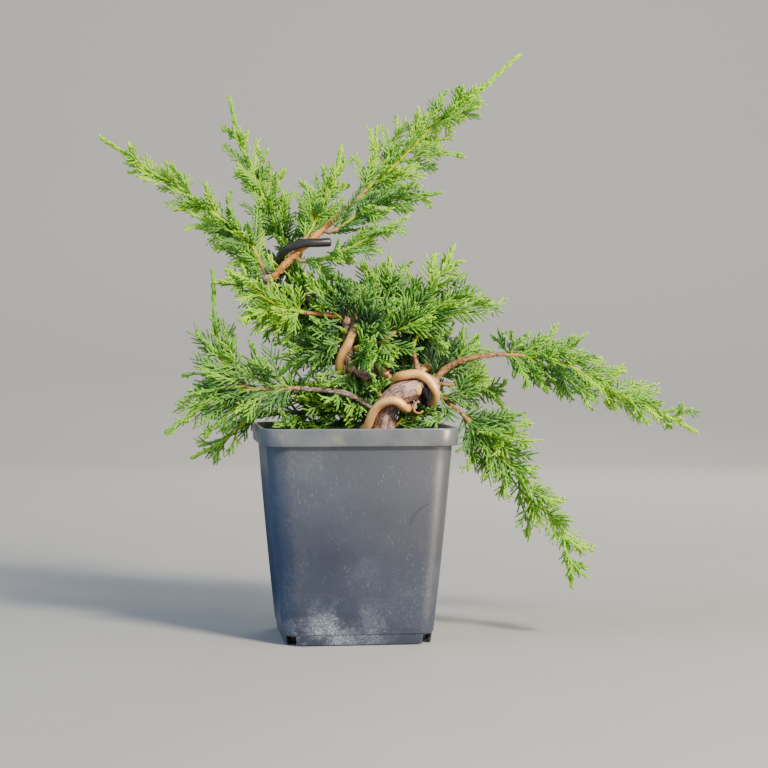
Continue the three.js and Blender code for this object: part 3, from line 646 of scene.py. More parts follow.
old_bark = bark_material(
    "flaking_bark", 0.5, (0.31, 0.175, 0.145), (0.66, 0.435, 0.36), (0.045, 0.022, 0.022), 0.75, plated=True
)
trunk = Path(TRUNK_POINTS)
trunk_mesh = limb_mesh("bare_trunk", trunk, trunk_skin, sides=96, rings=420)
trunk_piece = new_piece("bare_trunk", trunk_mesh, old_bark, "bark")
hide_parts("trunk")

# Where the trunk turns back, a near-black lump under its far end stands in for the shadow there, as
# painted shadow. There is also a cream scar of a pruned branch and a strip of orange bark that has curled
# away.
SHADOW_LUMP_MIDDLE, SHADOW_LUMP_HALF = (42.6, -4.4, 138.2), (3.5, 6.2, 7.2)
SCAR_MIDDLE, SCAR_RADIUS = (37.4, -9.4, 140.4), 2.5
CURL_POINTS = [
    (36.5, -8.2, 133.6), (35.2, -8.6, 130.2), (35.8, -8.8, 127.6), (38.4, -8.6, 126.8), (40.6, -7.6, 128.0),
]


def lump_mesh(name, middle, half, rough):
    """A rough lump with the given half sizes."""
    bm = bmesh.new()
    bmesh.ops.create_icosphere(bm, subdivisions=4, radius=1)
    for vert in bm.verts:
        swell = 1 + rough * noise.fractal(vert.co * 1.7, 0.8, 2.1, 4)
        vert.co = Vector(c + h * swell * v for c, h, v in zip(middle, half, vert.co)) * MM
    return finished_mesh(bm, name, 60)


def curl_skin(share, angle):
    return 0.45 + 0.55 * np.abs(np.cos(angle + 0.6)) * (1 - 0.5 * share)


# Painted shadow: a near-black lump fills the shaded gap under the trunk's far end.
shadow_lump_wood = bark_material(
    "painted_shadow_wood", 0.7, (0.007, 0.004, 0.003), (0.02, 0.012, 0.009), (0.002, 0.001, 0.001), 0.95
)
shadow_lump_mesh = lump_mesh("painted_shadow_lump", SHADOW_LUMP_MIDDLE, SHADOW_LUMP_HALF, 0.25)
new_piece("painted_shadow_lump", shadow_lump_mesh, shadow_lump_wood, "bark")
scar_wood, tree, shader, place = new_material("pruned_wood", Specular_IOR_Level=0.3)
grain = cloudy(tree, place, 900.0, 4.0)
cream = mixed(tree, spread(tree, grain, 0.35, 0.65), (0.6, 0.32, 0.08), (0.95, 0.62, 0.2))
join_up(tree, shader, cream, spread(tree, grain, 0.3, 0.7, 0.5, 0.7), grain, 0.5, 0.0003)
scar_half = (SCAR_RADIUS, 0.7 * SCAR_RADIUS, SCAR_RADIUS * 1.15)
scar_mesh = lump_mesh("pruning_scar", SCAR_MIDDLE, scar_half, 0.2)
new_piece("pruning_scar", scar_mesh, scar_wood, "bark")
curled = bark_material("curled_bark", 1.0, (0.48, 0.2, 0.06), (0.75, 0.39, 0.14), (0.12, 0.045, 0.02), 0.65)
curl_mesh = limb_mesh("curled_strip", Path(CURL_POINTS), curl_skin, sides=16, rings=40)
new_piece("curled_strip", curl_mesh, curled, "bark")

# Boughs: young limbs two to four millimetres thick, from the trunk to where they enter the foliage.
# Those that show have rough bark with the stumps of shed twigs: orange-brown, or grey-pink low down.
BOUGHS = {
    "leader": ([(-48, 0, 201.5), (-35, -5, 214.5), (-20, -3, 228), (-4, 0, 243)], 2.1, 1.4),
    "bough_low_left": ([(20, -1, 128), (11, 1, 130), (-3, -8, 138), (-29, -12, 141)], 1.7, 1.2),
    "bough_low_back": ([(17, 1, 117), (4, 16, 124), (-18, 20, 127), (-36, 16, 126)], 1.8, 1.2),
    "bough_right_upper": ([(46, 6, 144), (55, 5, 153), (67, 0, 158), (82, -3, 160)], 1.8, 1.2),
    "bough_right_low": ([(45, 8, 142), (54, 5, 134), (62, -4, 127)], 1.6, 1.2),
    "bough_bend": ([(43, -1, 145), (38, 0, 151), (36, 1, 158)], 1.6, 1.1),
    "bough_middle_left": ([(-4, 3, 180), (-14, -4, 183), (-26, -8, 184)], 1.6, 1.1),
    "bough_middle_right": ([(-2, 3, 163), (5, -1, 164), (13, -2, 166)], 1.5, 1.1),
    "bough_back_up": ([(30, 22, 148), (29, 29, 163), (24, 31, 177), (20, 31, 190)], 1.8, 1.2),
    "bough_back_left": ([(8, 15, 150), (2, 30, 155), (-6, 42, 160)], 1.8, 1.2),
    "bough_back_right": ([(42, 17, 145), (48, 32, 148), (55, 44, 153)], 1.8, 1.2),
}
# Strip width, the ground, pale and dark tones, and roughness.
YOUNG_BARKS = {
    "orange_young_bark": (0.9, (0.66, 0.25, 0.06), (0.78, 0.4, 0.12), (0.24, 0.075, 0.022), 0.6),
    "grey_pink_bark": (2.4, (0.13, 0.072, 0.058), (0.5, 0.42, 0.38), (0.04, 0.02, 0.017), 0.75),
    "brown_young_bark": (1.8, (0.34, 0.14, 0.06), (0.62, 0.36, 0.2), (0.075, 0.028, 0.016), 0.7),
}
orange_bark, grey_bark, brown_bark = (bark_material(name, *look) for name, look in YOUNG_BARKS.items())
bough_barks = {
    "leader": orange_bark,
    "bough_middle_left": orange_bark,
    "bough_low_left": grey_bark,
    "bough_low_back": grey_bark,
}
limbs = {"trunk": (trunk, trunk_radius)}


def tapering(start, end):
    return lambda share, angle=0.0: between((start, end), share) + 0 * angle


def bough_skin(path, thickness):
    def skin(share, angle):
        plain = thickness(share, angle)
        knots = round_limb(angle, 0.7, share * path.length / 2.6)
        stumps = np.clip(fractal(knots + 3.3, 2) - 0.1, 0, 1)
        rough = plain * (1 + 0.6 * stumps) + 0.3 * flaky(share, angle, plain, path.length, 0.8)
        return rough * rounded_tip(share, path.length, 1.0, 0.03)

    return skin


for name, (points, start, end) in BOUGHS.items():
    path = Path(points)
    limbs[name] = (path, tapering(start, end))
    rings = max(40, int(path.length * 2.2))
    mesh = limb_mesh(f"{name}_bark", path, bough_skin(path, limbs[name][1]), sides=24, rings=rings)
    bough = new_piece(f"{name}_bark", mesh, bough_barks.get(name, brown_bark), "young_bark")
    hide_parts(name)

# Training wire: soft aluminium about 5 mm thick, copper-coloured round the trunk and black across the
# leader. It is bent on by hand, so it is dulled and nicked, and snipped square. High up its colour is
# darkened as painted shade, where the foliage shades it.
WIRE_RADIUS = 2.5
PAINTED_SHADE_HEIGHTS = (0.17, 0.177)  # metres; above them the wire's colour is darkened as painted shade
TRUNK_WIRE = [
    (0.012, -0.34), (0.058, -0.175), (0.097, -0.12), (0.126, -0.09), (0.147, -0.045), (0.159, 0.02),
    (0.161, 0.14), (0.163, 0.4), (0.172, 0.62), (0.191, 0.745), (0.212, 0.785), (0.227, 0.87), (0.239, 0.975),
    (0.252, 1.085), (0.262, 1.22), (0.29, 1.45), (0.58, 3.17), (0.606, 3.3), (0.645, 3.41), (0.68, 3.5),
    (0.712, 3.62), (0.732, 3.82),
]
LEADER_WIRE = [
    (-26, 15, 190), (-31, 12, 186), (-36, 5, 187.5), (-40, 0.5, 193), (-40.5, 0.5, 200),
    (-38.8, 2.4, 205.4), (-41, 2, 211.4), (-40.5, -3.2, 216.6), (-35, -8.4, 220.8), (-27, -9.5, 223.2),
    (-18, -8.6, 223.6), (-12, -7, 224),
]


class Winding(Path):
    """A path wound round another, through (share of that path, turns round it)."""

    def __init__(self, core, stations):
        self.core = core
        self.stations = Path([(share, turns, 0) for share, turns in stations])
        self.sides = sides_of(core)
        self.measure()

    def place(self, t):
        station = self.stations.place(t)
        share = station[..., 0]
        angle = station[..., 1] * 2 * math.pi
        radius = trunk_radius(share) + WIRE_RADIUS + 2.6 * CLEAR
        return self.core.at(share) + outward(self.sides, share, angle) * radius[..., None]


def wire_skin(path):
    def skin(share, angle):
        from_end = np.minimum(share, 1 - share) * path.length
        snipped = np.where(from_end < 0.02, 0.8, np.where(from_end < 0.6, 0.94, 1.0))
        dents = round_limb(angle, 1, share * path.length / 7)
        return WIRE_RADIUS * snipped * (1 + 0.025 * fractal(dents * 0.8, 2))

    return skin


def wire_material(name, colour, dulled, bare, painted_shade_tone, metal, roughness):
    material, tree, shader, place = new_material(name, Metallic=metal)
    straight = straightened(tree)
    dust = use_group(tree, settled_dust, {"Place": place, "Size": 90.0, "Amount": 0.8})
    nicks = spread(tree, cloudy(tree, stretched(tree, straight, (1, 1, 0.3)), 0.9, 3.0), 0.64, 0.7)
    # Painted shade: above these heights the wire's colour darkens, where the foliage shades it.
    painted_shade_high_up = spread(tree, axes_of(tree, place)[2], *PAINTED_SHADE_HEIGHTS, 0.0, 0.88)
    tone = mixed(tree, dust["Haze"], colour, dulled)
    tone = mixed(tree, product(tree, nicks, 0.7), tone, bare)
    tone = mixed(tree, painted_shade_high_up, tone, painted_shade_tone)
    hammered = cloudy(tree, stretched(tree, straight, (1, 1, 0.5)), 0.5, 2.0)
    gloss = spread(tree, dust["Haze"], 0.2, 0.8, roughness, roughness + 0.22)
    join_up(tree, shader, tone, gloss, hammered, 0.25, 0.0005)
    return material


# The fourth colour of each wire is its painted shade high up.
copper = wire_material(
    "dulled_copper_wire", (1.0, 0.54, 0.18), (0.9, 0.45, 0.15), (1.0, 0.76, 0.44), (0.075, 0.04, 0.026),
    metal=0.2, roughness=0.32,
)
black = wire_material(
    "black_wire", (0.03, 0.028, 0.03), (0.09, 0.08, 0.08), (0.3, 0.27, 0.27), (0.03, 0.028, 0.03),
    metal=0.3, roughness=0.25,
)
wires = {
    "trunk_wire": (Winding(trunk, TRUNK_WIRE), copper, "copper_wire", 420),
    "leader_wire": (Path(LEADER_WIRE), black, "black_wire", 200),
}
for name, (path, metal, slot, rings) in wires.items():
    mesh = limb_mesh(f"{name}_wound", path, wire_skin(path), sides=28, rings=rings)
    wire = new_piece(f"{name}_wound", mesh, metal, slot)
    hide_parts(name)
    limbs[name] = (path, lambda share, angle=0.0: WIRE_RADIUS + 0 * share)

# Foliage: juniper scale leaves, packed on cords a millimetre thick that branch like feathers. Each
# mass grows from one stem by the source's rule, and here on through sprigs to the finest cords.
STEM_RADIUS = 1.5
SHOOT_RADIUS = 1.1
SHOOT_TIP_RADIUS = 0.5
SHOOT_ROOT = 0.7
SHOOT_ANGLE = math.radians(38)
SHORTEST_SHOOT = 8
FILLER_PITCH = 40
FILLER_LENGTH = 19
FILLER_ANGLE = math.radians(55)
SHOOT_BOW = 0.1
SHOOT_PIECE = 8
ROOT_LENGTH = 7
ROOT_STRAIGHT = 2
OWN_SPACE = 4.6
GOLDEN_TURN = math.pi * (3 - math.sqrt(5))

# Each mass: the limb it springs from and where, its habit, its stem's points and its shoots' tips.
MASSES = {
    "leader_spray": (
        ("leader", 1), "feathery",
        [(10, 2, 256), (27, 2, 271), (50, 0, 294), (70, -4, 308), (95, -6, 330)],
        [(14, 8, 291), (26, 12, 298), (38, -8, 300), (51, 8, 310), (63, -10, 312), (72, -16, 299),
         (58, 8, 284), (62, -8, 274), (41, -4, 262)],
    ),
    "leader_mid": (
        ("leader", 0.72), "feathery",
        [(-6, -6, 233), (4, -6, 240), (19, -6, 247), (51, -9, 252)],
        [(36, -18, 258), (35, 4, 243), (22, -16, 241)],
    ),
    "leader_right": (
        ("leader", 0.36), "feathery",
        [(-25, -8, 213), (-12, -12, 216), (2, -14, 222), (32, -18, 238)],
        [(17, -12, 218), (8, -8, 211), (20, -26, 230), (-4, -22, 212)],
    ),
    "leader_centre": (
        ("leader", 0.5), "feathery",
        [(-25, 2, 229), (-17, 6, 246), (-10, 8, 262), (-6, 8, 280)],
        [(-17, 2, 268), (-27, 2, 259), (-30, 10, 247), (-2, 16, 258), (-12, 20, 244)],
    ),
    "upper_left": (
        ("trunk", 0.96), "feathery",
        [(-52, 8, 211), (-60, 7, 226), (-81, 3, 243), (-112, -2, 263), (-143, -6, 284)],
        [(-84, 6, 259), (-71, 2, 252), (-95, 10, 234), (-80, 14, 224), (-71, 10, 213),
         (-107, 6, 271), (-101, 4, 243), (-90, -12, 239), (-128, 2, 264), (-126, -12, 280)],
    ),
    "upper_middle": (
        ("trunk", 0.88), "feathery",
        [(-37, 16, 207), (-42, 18, 228), (-52, 16, 252), (-64, 13, 280), (-71, 11, 309)],
        [(-75, 14, 290), (-60, 16, 289), (-49, 16, 279), (-41, 24, 268), (-67, 24, 267),
         (-34, 22, 255), (-56, 30, 243), (-28, 26, 238)],
    ),
    "middle_left": (
        ("bough_middle_left", 1), "feathery",
        [(-38, -12, 187), (-49, -15, 192), (-57, -18, 201), (-71, -20, 208)],
        [(-62, -14, 211), (-64, -20, 193), (-63, -16, 180), (-51, -22, 173), (-36, -14, 174),
         (-46, -16, 204), (-34, -16, 199), (-44, -32, 186)],
    ),
    "left_low": (
        ("bough_low_left", 1), "slender",
        [(-40, -13, 141), (-56, -14, 141), (-66, -14, 146), (-75, -13, 163), (-79, -10, 209)],
        [(-87, -14, 172), (-65, -16, 176), (-96, -8, 149), (-90, -24, 137), (-105, -16, 116),
         (-83, -12, 113), (-58, -16, 168), (-50, -18, 121), (-38, -14, 121), (-64, -34, 128),
         (-92, -10, 128), (-48, -28, 158)],
    ),
    "left_hanging": (
        ("bough_low_back", 1), "slender",
        [(-46, 14, 127), (-56, 10, 126), (-66, 6, 117), (-78, 2, 108), (-92, -2, 101)],
        [(-80, 10, 97), (-89, 12, 107), (-68, -2, 104), (-76, 22, 116)],
    ),
    "right_upper": (
        ("bough_right_upper", 1), "feathery",
        [(103, -5, 159), (118, -6, 156), (133, -6, 149), (147, -7, 139), (164, -9, 133), (196, -10, 116)],
        [(80, 4, 171), (90, -14, 173), (102, 2, 173), (117, -2, 174), (131, -12, 171), (132, 4, 163),
         (155, -14, 151), (143, 2, 159), (172, -2, 143), (188, -14, 130), (148, -2, 129), (167, -16, 121),
         (182, -4, 118), (136, -12, 129), (122, 2, 137), (110, -12, 139), (100, 2, 143), (92, -8, 147),
         (108, 14, 152)],
    ),
    "right_low": (
        ("bough_right_low", 1), "hanging",
        [(70, -9, 118), (80, -12, 108), (90, -14, 98), (99, -15, 83), (118, -15, 61), (125, -14, 28)],
        [(97, -10, 127), (103, -2, 121), (104, -18, 112), (66, -22, 96), (76, -14, 90),
         (104, -8, 95), (86, -20, 79), (119, -16, 77), (99, -10, 57), (137, -10, 49), (132, -20, 35),
         (84, 2, 92), (78, -26, 116)],
    ),
    "right_middle": (
        ("trunk", 0.31), "crowded",
        [(56, 14, 143), (66, 15, 142), (77, 14, 139), (88, 10, 129)],
        [(89, 18, 143), (86, 20, 133), (72, 24, 132), (68, 28, 148)],
    ),
    "middle_right": (
        ("bough_middle_right", 1), "crowded",
        [(22, -2, 171), (30, -1, 178), (38, 1, 188), (49, 3, 205), (59, 4, 223)],
        [(46, 8, 217), (62, 8, 214), (64, -2, 204), (71, 4, 194), (86, 6, 189), (66, -8, 187),
         (33, 8, 207), (24, -8, 192), (47, -14, 181), (23, -14, 157), (10, -16, 154)],
    ),
    "bend_spray": (
        ("bough_bend", 1), "crowded",
        [(35, 2, 163), (37, 4, 170), (46, 6, 178)],
        [(56, 6, 172), (66, 8, 168), (26, 6, 164), (54, -6, 164), (40, 14, 183)],
    ),
    "upper_back": (
        ("bough_back_up", 1), "crowded",
        [(17, 30, 197), (11, 30, 206), (5, 30, 214)],
        [(22, 34, 216), (34, 40, 214), (-6, 34, 204), (38, 30, 200), (10, 44, 208)],
    ),
    "knot_spray": (
        ("trunk", 0.72), "crowded",
        [(-3, -2, 192), (-9, -4, 203), (-20, -5, 210)],
        [(4, -8, 199), (-18, -12, 199), (-6, -16, 200), (8, 4, 192)],
    ),
    "centre_left": (
        ("trunk", 0.65), "crowded",
        [(-14, 0, 166), (-27, -3, 163), (-44, -6, 158)],
        [(-39, -8, 169), (-28, 4, 172), (-35, 2, 149), (-22, -8, 152), (-20, 16, 158)],
    ),
    "centre_front": (
        ("trunk", 0.135), "crowded",
        [(14, -8, 143), (11, -14, 149), (8, -20, 155), (2, -26, 163)],
        [(26, -22, 158), (8, -30, 150), (-6, -22, 154), (30, -14, 155), (12, -34, 164)],
    ),
    "low_centre": (
        ("bough_low_back", 0.45), "crowded",
        [(-8, 14, 136), (-16, 10, 140), (-26, 8, 144)],
        [(0, 6, 141), (-14, 0, 128), (-30, 2, 133), (-34, 20, 144), (-10, 26, 146)],
    ),
    "low_right": (
        ("trunk", 0.06), "crowded",
        [(28, 8, 123), (37, 14, 125), (46, 18, 127)],
        [(38, 4, 123), (40, 26, 130), (52, 10, 129), (28, 22, 130), (44, 34, 124)],
    ),
    "back_left": (
        ("bough_back_left", 1), "feathery",
        [(-12, 48, 164), (-22, 56, 171), (-32, 62, 180)],
        [(-40, 50, 168), (-14, 66, 180), (-30, 66, 160), (-8, 60, 156), (-22, 44, 184), (-44, 58, 150)],
    ),
    "back_right": (
        ("bough_back_right", 1), "feathery",
        [(61, 50, 156), (68, 58, 162), (74, 66, 172)],
        [(50, 60, 170), (84, 54, 162), (62, 72, 160), (80, 70, 150), (46, 66, 152), (66, 46, 176)],
    ),
}


def seeded(seed):
    state = seed
    while True:
        state = (state * 1664525 + 1013904223) % 4294967296
        yield state / 4294967296


def balls_along(path, radius_at, pitch=1.5):
    count = max(2, math.ceil(path.length / pitch))
    share = np.arange(count + 1) / count
    return path.at(share), radius_at(share) + 0 * share


limb_balls = [balls_along(*limbs[name]) for name in ("trunk", *BOUGHS, "trunk_wire", "leader_wire")]
limb_middles = np.concatenate([middles for middles, _ in limb_balls])
limb_radii = np.concatenate([radii for _, radii in limb_balls])


def clear_of(points, middles, reaches):
    """True for each point that is further from every middle than that middle's reach."""
    apart = np.linalg.norm(points[:, None] - middles[None], axis=2)
    return (apart > reaches).all(axis=1)


def off_container(points, radius):
    gap = radius + 2 * CLEAR
    turn = np.array([[math.cos(POT_TURN), math.sin(POT_TURN)], [-math.sin(POT_TURN), math.cos(POT_TURN)]])
    across = np.abs(points[:, :2] @ turn.T).max(axis=1)
    height = points[:, 2]
    outer = np.where(height > RIM_UNDERSIDE - gap, RIM_HALF, wall_half(height))
    in_hollow = (across < WALL_TOP_HALF - WALL - gap) & (height > SOIL_LEVEL + gap)
    return (height > RIM_TOP + gap) | (across >= outer + gap) | in_hollow


def open_to(points, radius, margin=CLEAR):
    return off_container(points, radius) & clear_of(points, limb_middles, limb_radii + radius + margin)


def spaced_path(points):
    path = Path(points)
    return Path(path.spaced(max(2, round(path.length / SHOOT_PIECE))))


def mass_stem(origin, points):
    name, share = origin
    path, radius_at = limbs[name]
    middle, axis = path.at(share), path.along(share)
    out = np.array(points[0]) - middle
    out = unit(out - axis * (out @ axis)) if share < 1 else axis
    start = middle + out * (CLEAR + (radius_at(share) if share < 1 else 0))
    onward = spaced_path([start + out * ROOT_STRAIGHT, *points]).points
    return Path([start, *onward])


def beyond(start, onward):
    return start + unit(start - onward) * SHOOT_ROOT


def side_shoot(stem, tip):
    """A side shoot leaves its stem where it makes the usual angle with it, and bows to its tip."""
    shares = np.arange(0.06, 0.96, 0.02)
    starts, alongs = stem.at(shares), stem.along(shares)
    angles = np.arccos(np.clip((alongs * unit(tip - starts)).sum(axis=1), -1, 1))
    best = np.argmin(np.abs(angles - SHOOT_ANGLE))
    start, along = starts[best], alongs[best]
    bend = start + (tip - start) * 0.45 + along * SHOOT_BOW * np.linalg.norm(tip - start)
    return spaced_path([beyond(start, bend), bend, tip])


def leaning(axis, angle, spin):
    """Directions that leave the axes at an angle, turned round them by a spin."""
    side = unit(np.cross((0.0, -1.0, 0.0), axis))
    across = np.cross(axis, side)
    angle, spin = np.asarray(angle)[..., None], np.asarray(spin)[..., None]
    return axis * np.cos(angle) + np.sin(angle) * (side * np.cos(spin) + across * np.sin(spin))


def filler_shoots(stem, random):
    count = round(stem.length / FILLER_PITCH)
    for i in range(count):
        share = (i + 0.6) / count
        direction = leaning(stem.along(share), FILLER_ANGLE, i * GOLDEN_TURN + math.pi / 2)
        length = FILLER_LENGTH * (0.8 + 0.4 * next(random)) * (1 - 0.4 * share)
        start = stem.at(share)
        yield spaced_path([beyond(start, start + direction * length), start + direction * length])


def cut_shoot(path, earlier, bare_length=0):
    """A shoot stops where it would touch a limb, the container or an earlier mass."""
    last = len(path.points) - 1
    steps = np.arange(last)

    def free(points):
        near_root = np.linalg.norm(points - path.points[0], axis=1) < bare_length
        apart = clear_of(points, earlier, OWN_SPACE) if len(earlier) else True
        return (near_root | open_to(points, SHOOT_RADIUS)) & apart

    good = free(path.place((steps + 0.5) / last)) & free(path.points[1:])
    keep = last if good.all() else int(np.argmin(good))
    if keep == last:
        return path
    return Path(path.points[: keep + 1]) if keep >= 2 else None


grown = {}
taken = np.empty((0, 3))
for number, (name, (origin, habit, stem_points, tips)) in enumerate(MASSES.items()):
    stem = cut_shoot(mass_stem(origin, stem_points), taken, ROOT_LENGTH)
    side_shoots = [side_shoot(stem, np.array(tip, float)) for tip in tips]
    fillers = list(filler_shoots(stem, seeded(number + 1)))
    kept = [cut_shoot(shoot, taken) for shoot in side_shoots + fillers]
    kept = [shoot for shoot in kept if shoot and shoot.length > SHORTEST_SHOOT]
    grown[name] = [stem, *kept]
    balls = [balls_along(path, lambda share: SHOOT_RADIUS, 1.6)[0] for path in grown[name]]
    taken = np.concatenate([taken, *balls])

# Sprigs leave every shoot in two ranks, and close-set cords leave the sprigs like the teeth of a comb.
# Feathery masses are short and close, slender ones have long cords like needles, and the crowded
# and the hanging ones fill the crown's middle and its right side.
HABITS = {
    "feathery": {"pitch": 3.5, "sprig": 17.5, "cord_pitch": 1.25, "cord": 6.9, "narrowing": 0.5, "thick": 0.6,
                 "twiglets": 8.5, "wood": 0.13, "slender_tip": 13, "points": 3, "shortening": 0.33},
    "slender": {"pitch": 5.4, "sprig": 21, "cord_pitch": 1.6, "cord": 11.5, "narrowing": 0.45, "thick": 0.6,
                "twiglets": 9.5, "wood": 0.36, "slender_tip": 24, "points": 1, "shortening": 0.4},
    "crowded": {"pitch": 5.2, "sprig": 20, "cord_pitch": 1.6, "cord": 12, "narrowing": 0.42, "thick": 0.64,
                "twiglets": 6, "wood": 0.2, "slender_tip": 8, "points": 0, "shortening": 0.55},
    "hanging": {"pitch": 5.2, "sprig": 19, "cord_pitch": 1.6, "cord": 11, "narrowing": 0.42, "thick": 0.62,
                "twiglets": 6, "wood": 0.2, "slender_tip": 8, "points": 2, "shortening": 0.6},
}
# Masses with slender tips of their own, in millimetres.
SLENDER_TIPS = {
    "leader_spray": 27, "leader_centre": 10, "leader_mid": 10, "upper_left": 21, "upper_middle": 17,
}
# Masses that are paler, or deeper green, than the others. The deeper green of left_low and left_hanging is
# painted shade.
PALER = {
    "leader_spray": 0.08, "upper_left": 0.03, "upper_back": 0.08, "middle_left": 0.2, "middle_right": 0.12,
    "centre_front": 0.08, "right_middle": 0.06, "left_low": -0.06, "left_hanging": -0.09,
}
BARE_SHARES = {"middle_left": 0.75}  # how much of a mass's stem shows without cords
STEM_FOOT, SHOOT_FOOT = 4.0, 1.5  # how far up a stem or a side shoot its first sprig is
MOST_CORDS = 22
POINTED_FROM = 3.5  # the shortest cord that bears side points
POINT_RADIUS = 0.42
POINT_ANGLE = math.radians(38)
POINT_LENGTHS = (1.1, 2.4)
SCALE_PITCH = 0.9
SCALE_LENGTHS = (6.5, 4.4)  # on a stem, and on a side shoot
BOW = 0.16  # how far an axis bows to the way that its parent grows, as a share of its length
TWIGLET_LENGTH = 24
TWIGLET_ANGLE = math.radians(38)
SPRIG_ANGLES = (40, 20)  # near a shoot's root, and at its tip
CORD_ANGLES = (46, 25)
# Limbs that bear twigs of their own under the foliage: (name, first share, last share, pitch, facing).
INNER_LIMBS = [
    ("trunk", 0.27, 0.95, 3.6, False), ("trunk", 0.26, 0.53, 2.8, True), ("trunk", 0.55, 0.72, 2.2, True),
    ("trunk", 0.78, 0.99, 2.6, True), ("bough_back_up", 0.1, 0.95, 5, False),
    ("bough_back_up", 0.1, 0.9, 4, True), ("bough_low_back", 0.1, 0.95, 4, False),
    ("bough_low_back", 0.1, 0.95, 5, True),
    ("bough_back_left", 0.2, 0.9, 6, False), ("bough_back_right", 0.2, 0.9, 6, False),
    ("bough_middle_right", 0.3, 0.9, 4, False), ("bough_right_low", 0.5, 1.0, 4, False),
]
INNER_LENGTHS = (19, 34)
FRONT = 1100  # how far in front of the pot's middle the plant is seen from
EYE = (18.3, 165.4)  # sideways and up
ROWS_AT_ONCE = 4000
# The crown's middle, reach and shape; foliage towards its middle is painted darker, as painted shade.
CROWN_MIDDLE = (20, 12, 160)
CROWN_CORE = 62
CROWN_SHAPE = (1.25, 0.8, 1.0)

# Stretches of limb, wire and stem that no foliage hangs in front of: (name, first share, last, margin).
CLEARED = [
    ("trunk", 0.0, 0.25, 0.5), ("trunk", 0.7, 0.735, -1.2), ("trunk_wire", 0.03, 0.19, 0.7),
    ("trunk_wire", 0.285, 0.445, 0.2), ("trunk_wire", 0.845, 0.925, 0.3), ("leader", 0.1, 0.8, 0.2),
    ("leader_wire", 0.5, 1.0, 0.8), ("bough_low_left", 0.2, 1.0, 0.3), ("bough_right_upper", 0.15, 1.0, 0.2),
    ("bough_right_low", 0.3, 0.9, 0.0), ("bough_bend", 0.2, 0.8, -0.2), ("bough_back_up", 0.6, 0.8, -0.3),
    ("bough_middle_left", 0.1, 1.0, 0.1), ("left_low", 0.0, 0.42, -0.5), ("right_upper", 0.0, 0.2, -0.3),
    ("right_upper", 0.3, 0.5, -0.6), ("leader_spray", 0.1, 0.7, -0.6), ("upper_left", 0.3, 0.6, -0.7),
    ("middle_left", 0.0, 0.6, 0.0),
]


def seen_from_front(points):
    """Where points appear on the upright plane through the pot's middle, and how far back they are."""
    nearer = FRONT / (FRONT + points[:, 1])
    return np.stack([(points[:, 0] - EYE[0]) * nearer, (points[:, 2] - EYE[1]) * nearer], 1), points[:, 1]


cleared_places, cleared_depths, cleared_reaches = [], [], []
for name, first, last, margin in CLEARED:
    path, radius_at = limbs.get(name) or (grown[name][0], tapering(STEM_RADIUS, SHOOT_TIP_RADIUS))
    share = np.linspace(first, last, max(4, int(path.length * (last - first) / 1.2)))
    places, depths = seen_from_front(path.at(share))
    cleared_places.append(places)
    cleared_depths.append(depths)
    cleared_reaches.append(radius_at(share) + 0 * share + margin)
cleared_places = np.concatenate(cleared_places)
cleared_depths = np.concatenate(cleared_depths)
cleared_reaches = np.concatenate(cleared_reaches)


def in_the_way(points):
    """True for each point that would hang in front of a cleared stretch."""
    places, depths = seen_from_front(points)
    apart = np.linalg.norm(places[:, None] - cleared_places[None], axis=2)
    return ((apart < cleared_reaches) & (depths[:, None] < cleared_depths + 1)).any(axis=1)


def allowed(points, radius):
    """True for each row of points of which none touches a limb or the pot or hangs before a cleared one."""
    rows, columns = points.shape[:2]
    flat = points.reshape(-1, 3)
    parts = np.array_split(flat, max(1, len(flat) // ROWS_AT_ONCE))
    good = np.concatenate([open_to(part, radius, 0.1) & ~in_the_way(part) for part in parts])
    return good.reshape(rows, columns).all(axis=1)


class Growth:
    """Bent axes in arrays: root, way, length, bend (the way that it turns to), thickness and tone."""

    def __init__(self, root, way, length, bend, thick, tone):
        self.root, self.way, self.length = root, way, length
        self.bend, self.thick, self.tone = bend, thick, tone

    def arrays(self):
        return self.root, self.way, self.length, self.bend, self.thick, self.tone

    def at(self, t):
        t = np.asarray(t, float)[..., None]
        length = self.length.reshape(self.length.shape + (1,) * (t.ndim - 1))
        bow = self.bend * BOW
        if t.ndim > self.root.ndim:
            return self.root[:, None] + length * (self.way[:, None] * t + bow[:, None] * t * t)
        return self.root + self.length[:, None] * (self.way * t + bow * t * t)

    def towards(self, t):
        return unit(self.way[:, None] + 2 * BOW * self.bend[:, None] * np.asarray(t, float)[..., None])

    def free(self, shares, radius):
        """True for each axis that is allowed at these shares of its length."""
        return allowed(self.at(np.tile(shares, (len(self.length), 1))), radius)

    def kept(self, good):
        return Growth(*(array[good] for array in self.arrays()))


def joined_growth(parts):
    return Growth(*(np.concatenate(arrays) for arrays in zip(*(part.arrays() for part in parts))))


def sprigs_on(shoot, habit, chance, is_stem):
    """Sprigs along a shoot, in two ranks that turn a little, shorter towards its slender tip."""
    bare = STEM_FOOT if is_stem else SHOOT_FOOT
    count = max(2, int((shoot.length - bare) / habit["pitch"]))
    place = (np.arange(count) + chance.uniform(0.25, 0.75, count)) / count
    share = (bare + (shoot.length - bare) * place) / shoot.length
    along = shoot.along(share)
    turning = chance.normal(0, 0.7) + chance.normal(0, 0.9 if is_stem else 0.4, count)
    lean = np.radians(between(SPRIG_ANGLES, share) + chance.normal(0, 5, count))
    tip = habit["slender_tip"] if is_stem else min(0.3 * habit["slender_tip"], 0.2 * shoot.length)
    left = np.maximum((1 - share) * shoot.length - tip, 0)
    longest = habit["sprig"] * (1 - habit["shortening"] * share)
    length = np.minimum(longest, 0.5 * left + 2.2) * chance.uniform(0.65, 1.12, count)
    way = leaning(along, lean, np.arange(count) * math.pi + turning)
    return Growth(shoot.at(share), way, length, along, habit["thick"] * 1.1 + 0 * share, share)


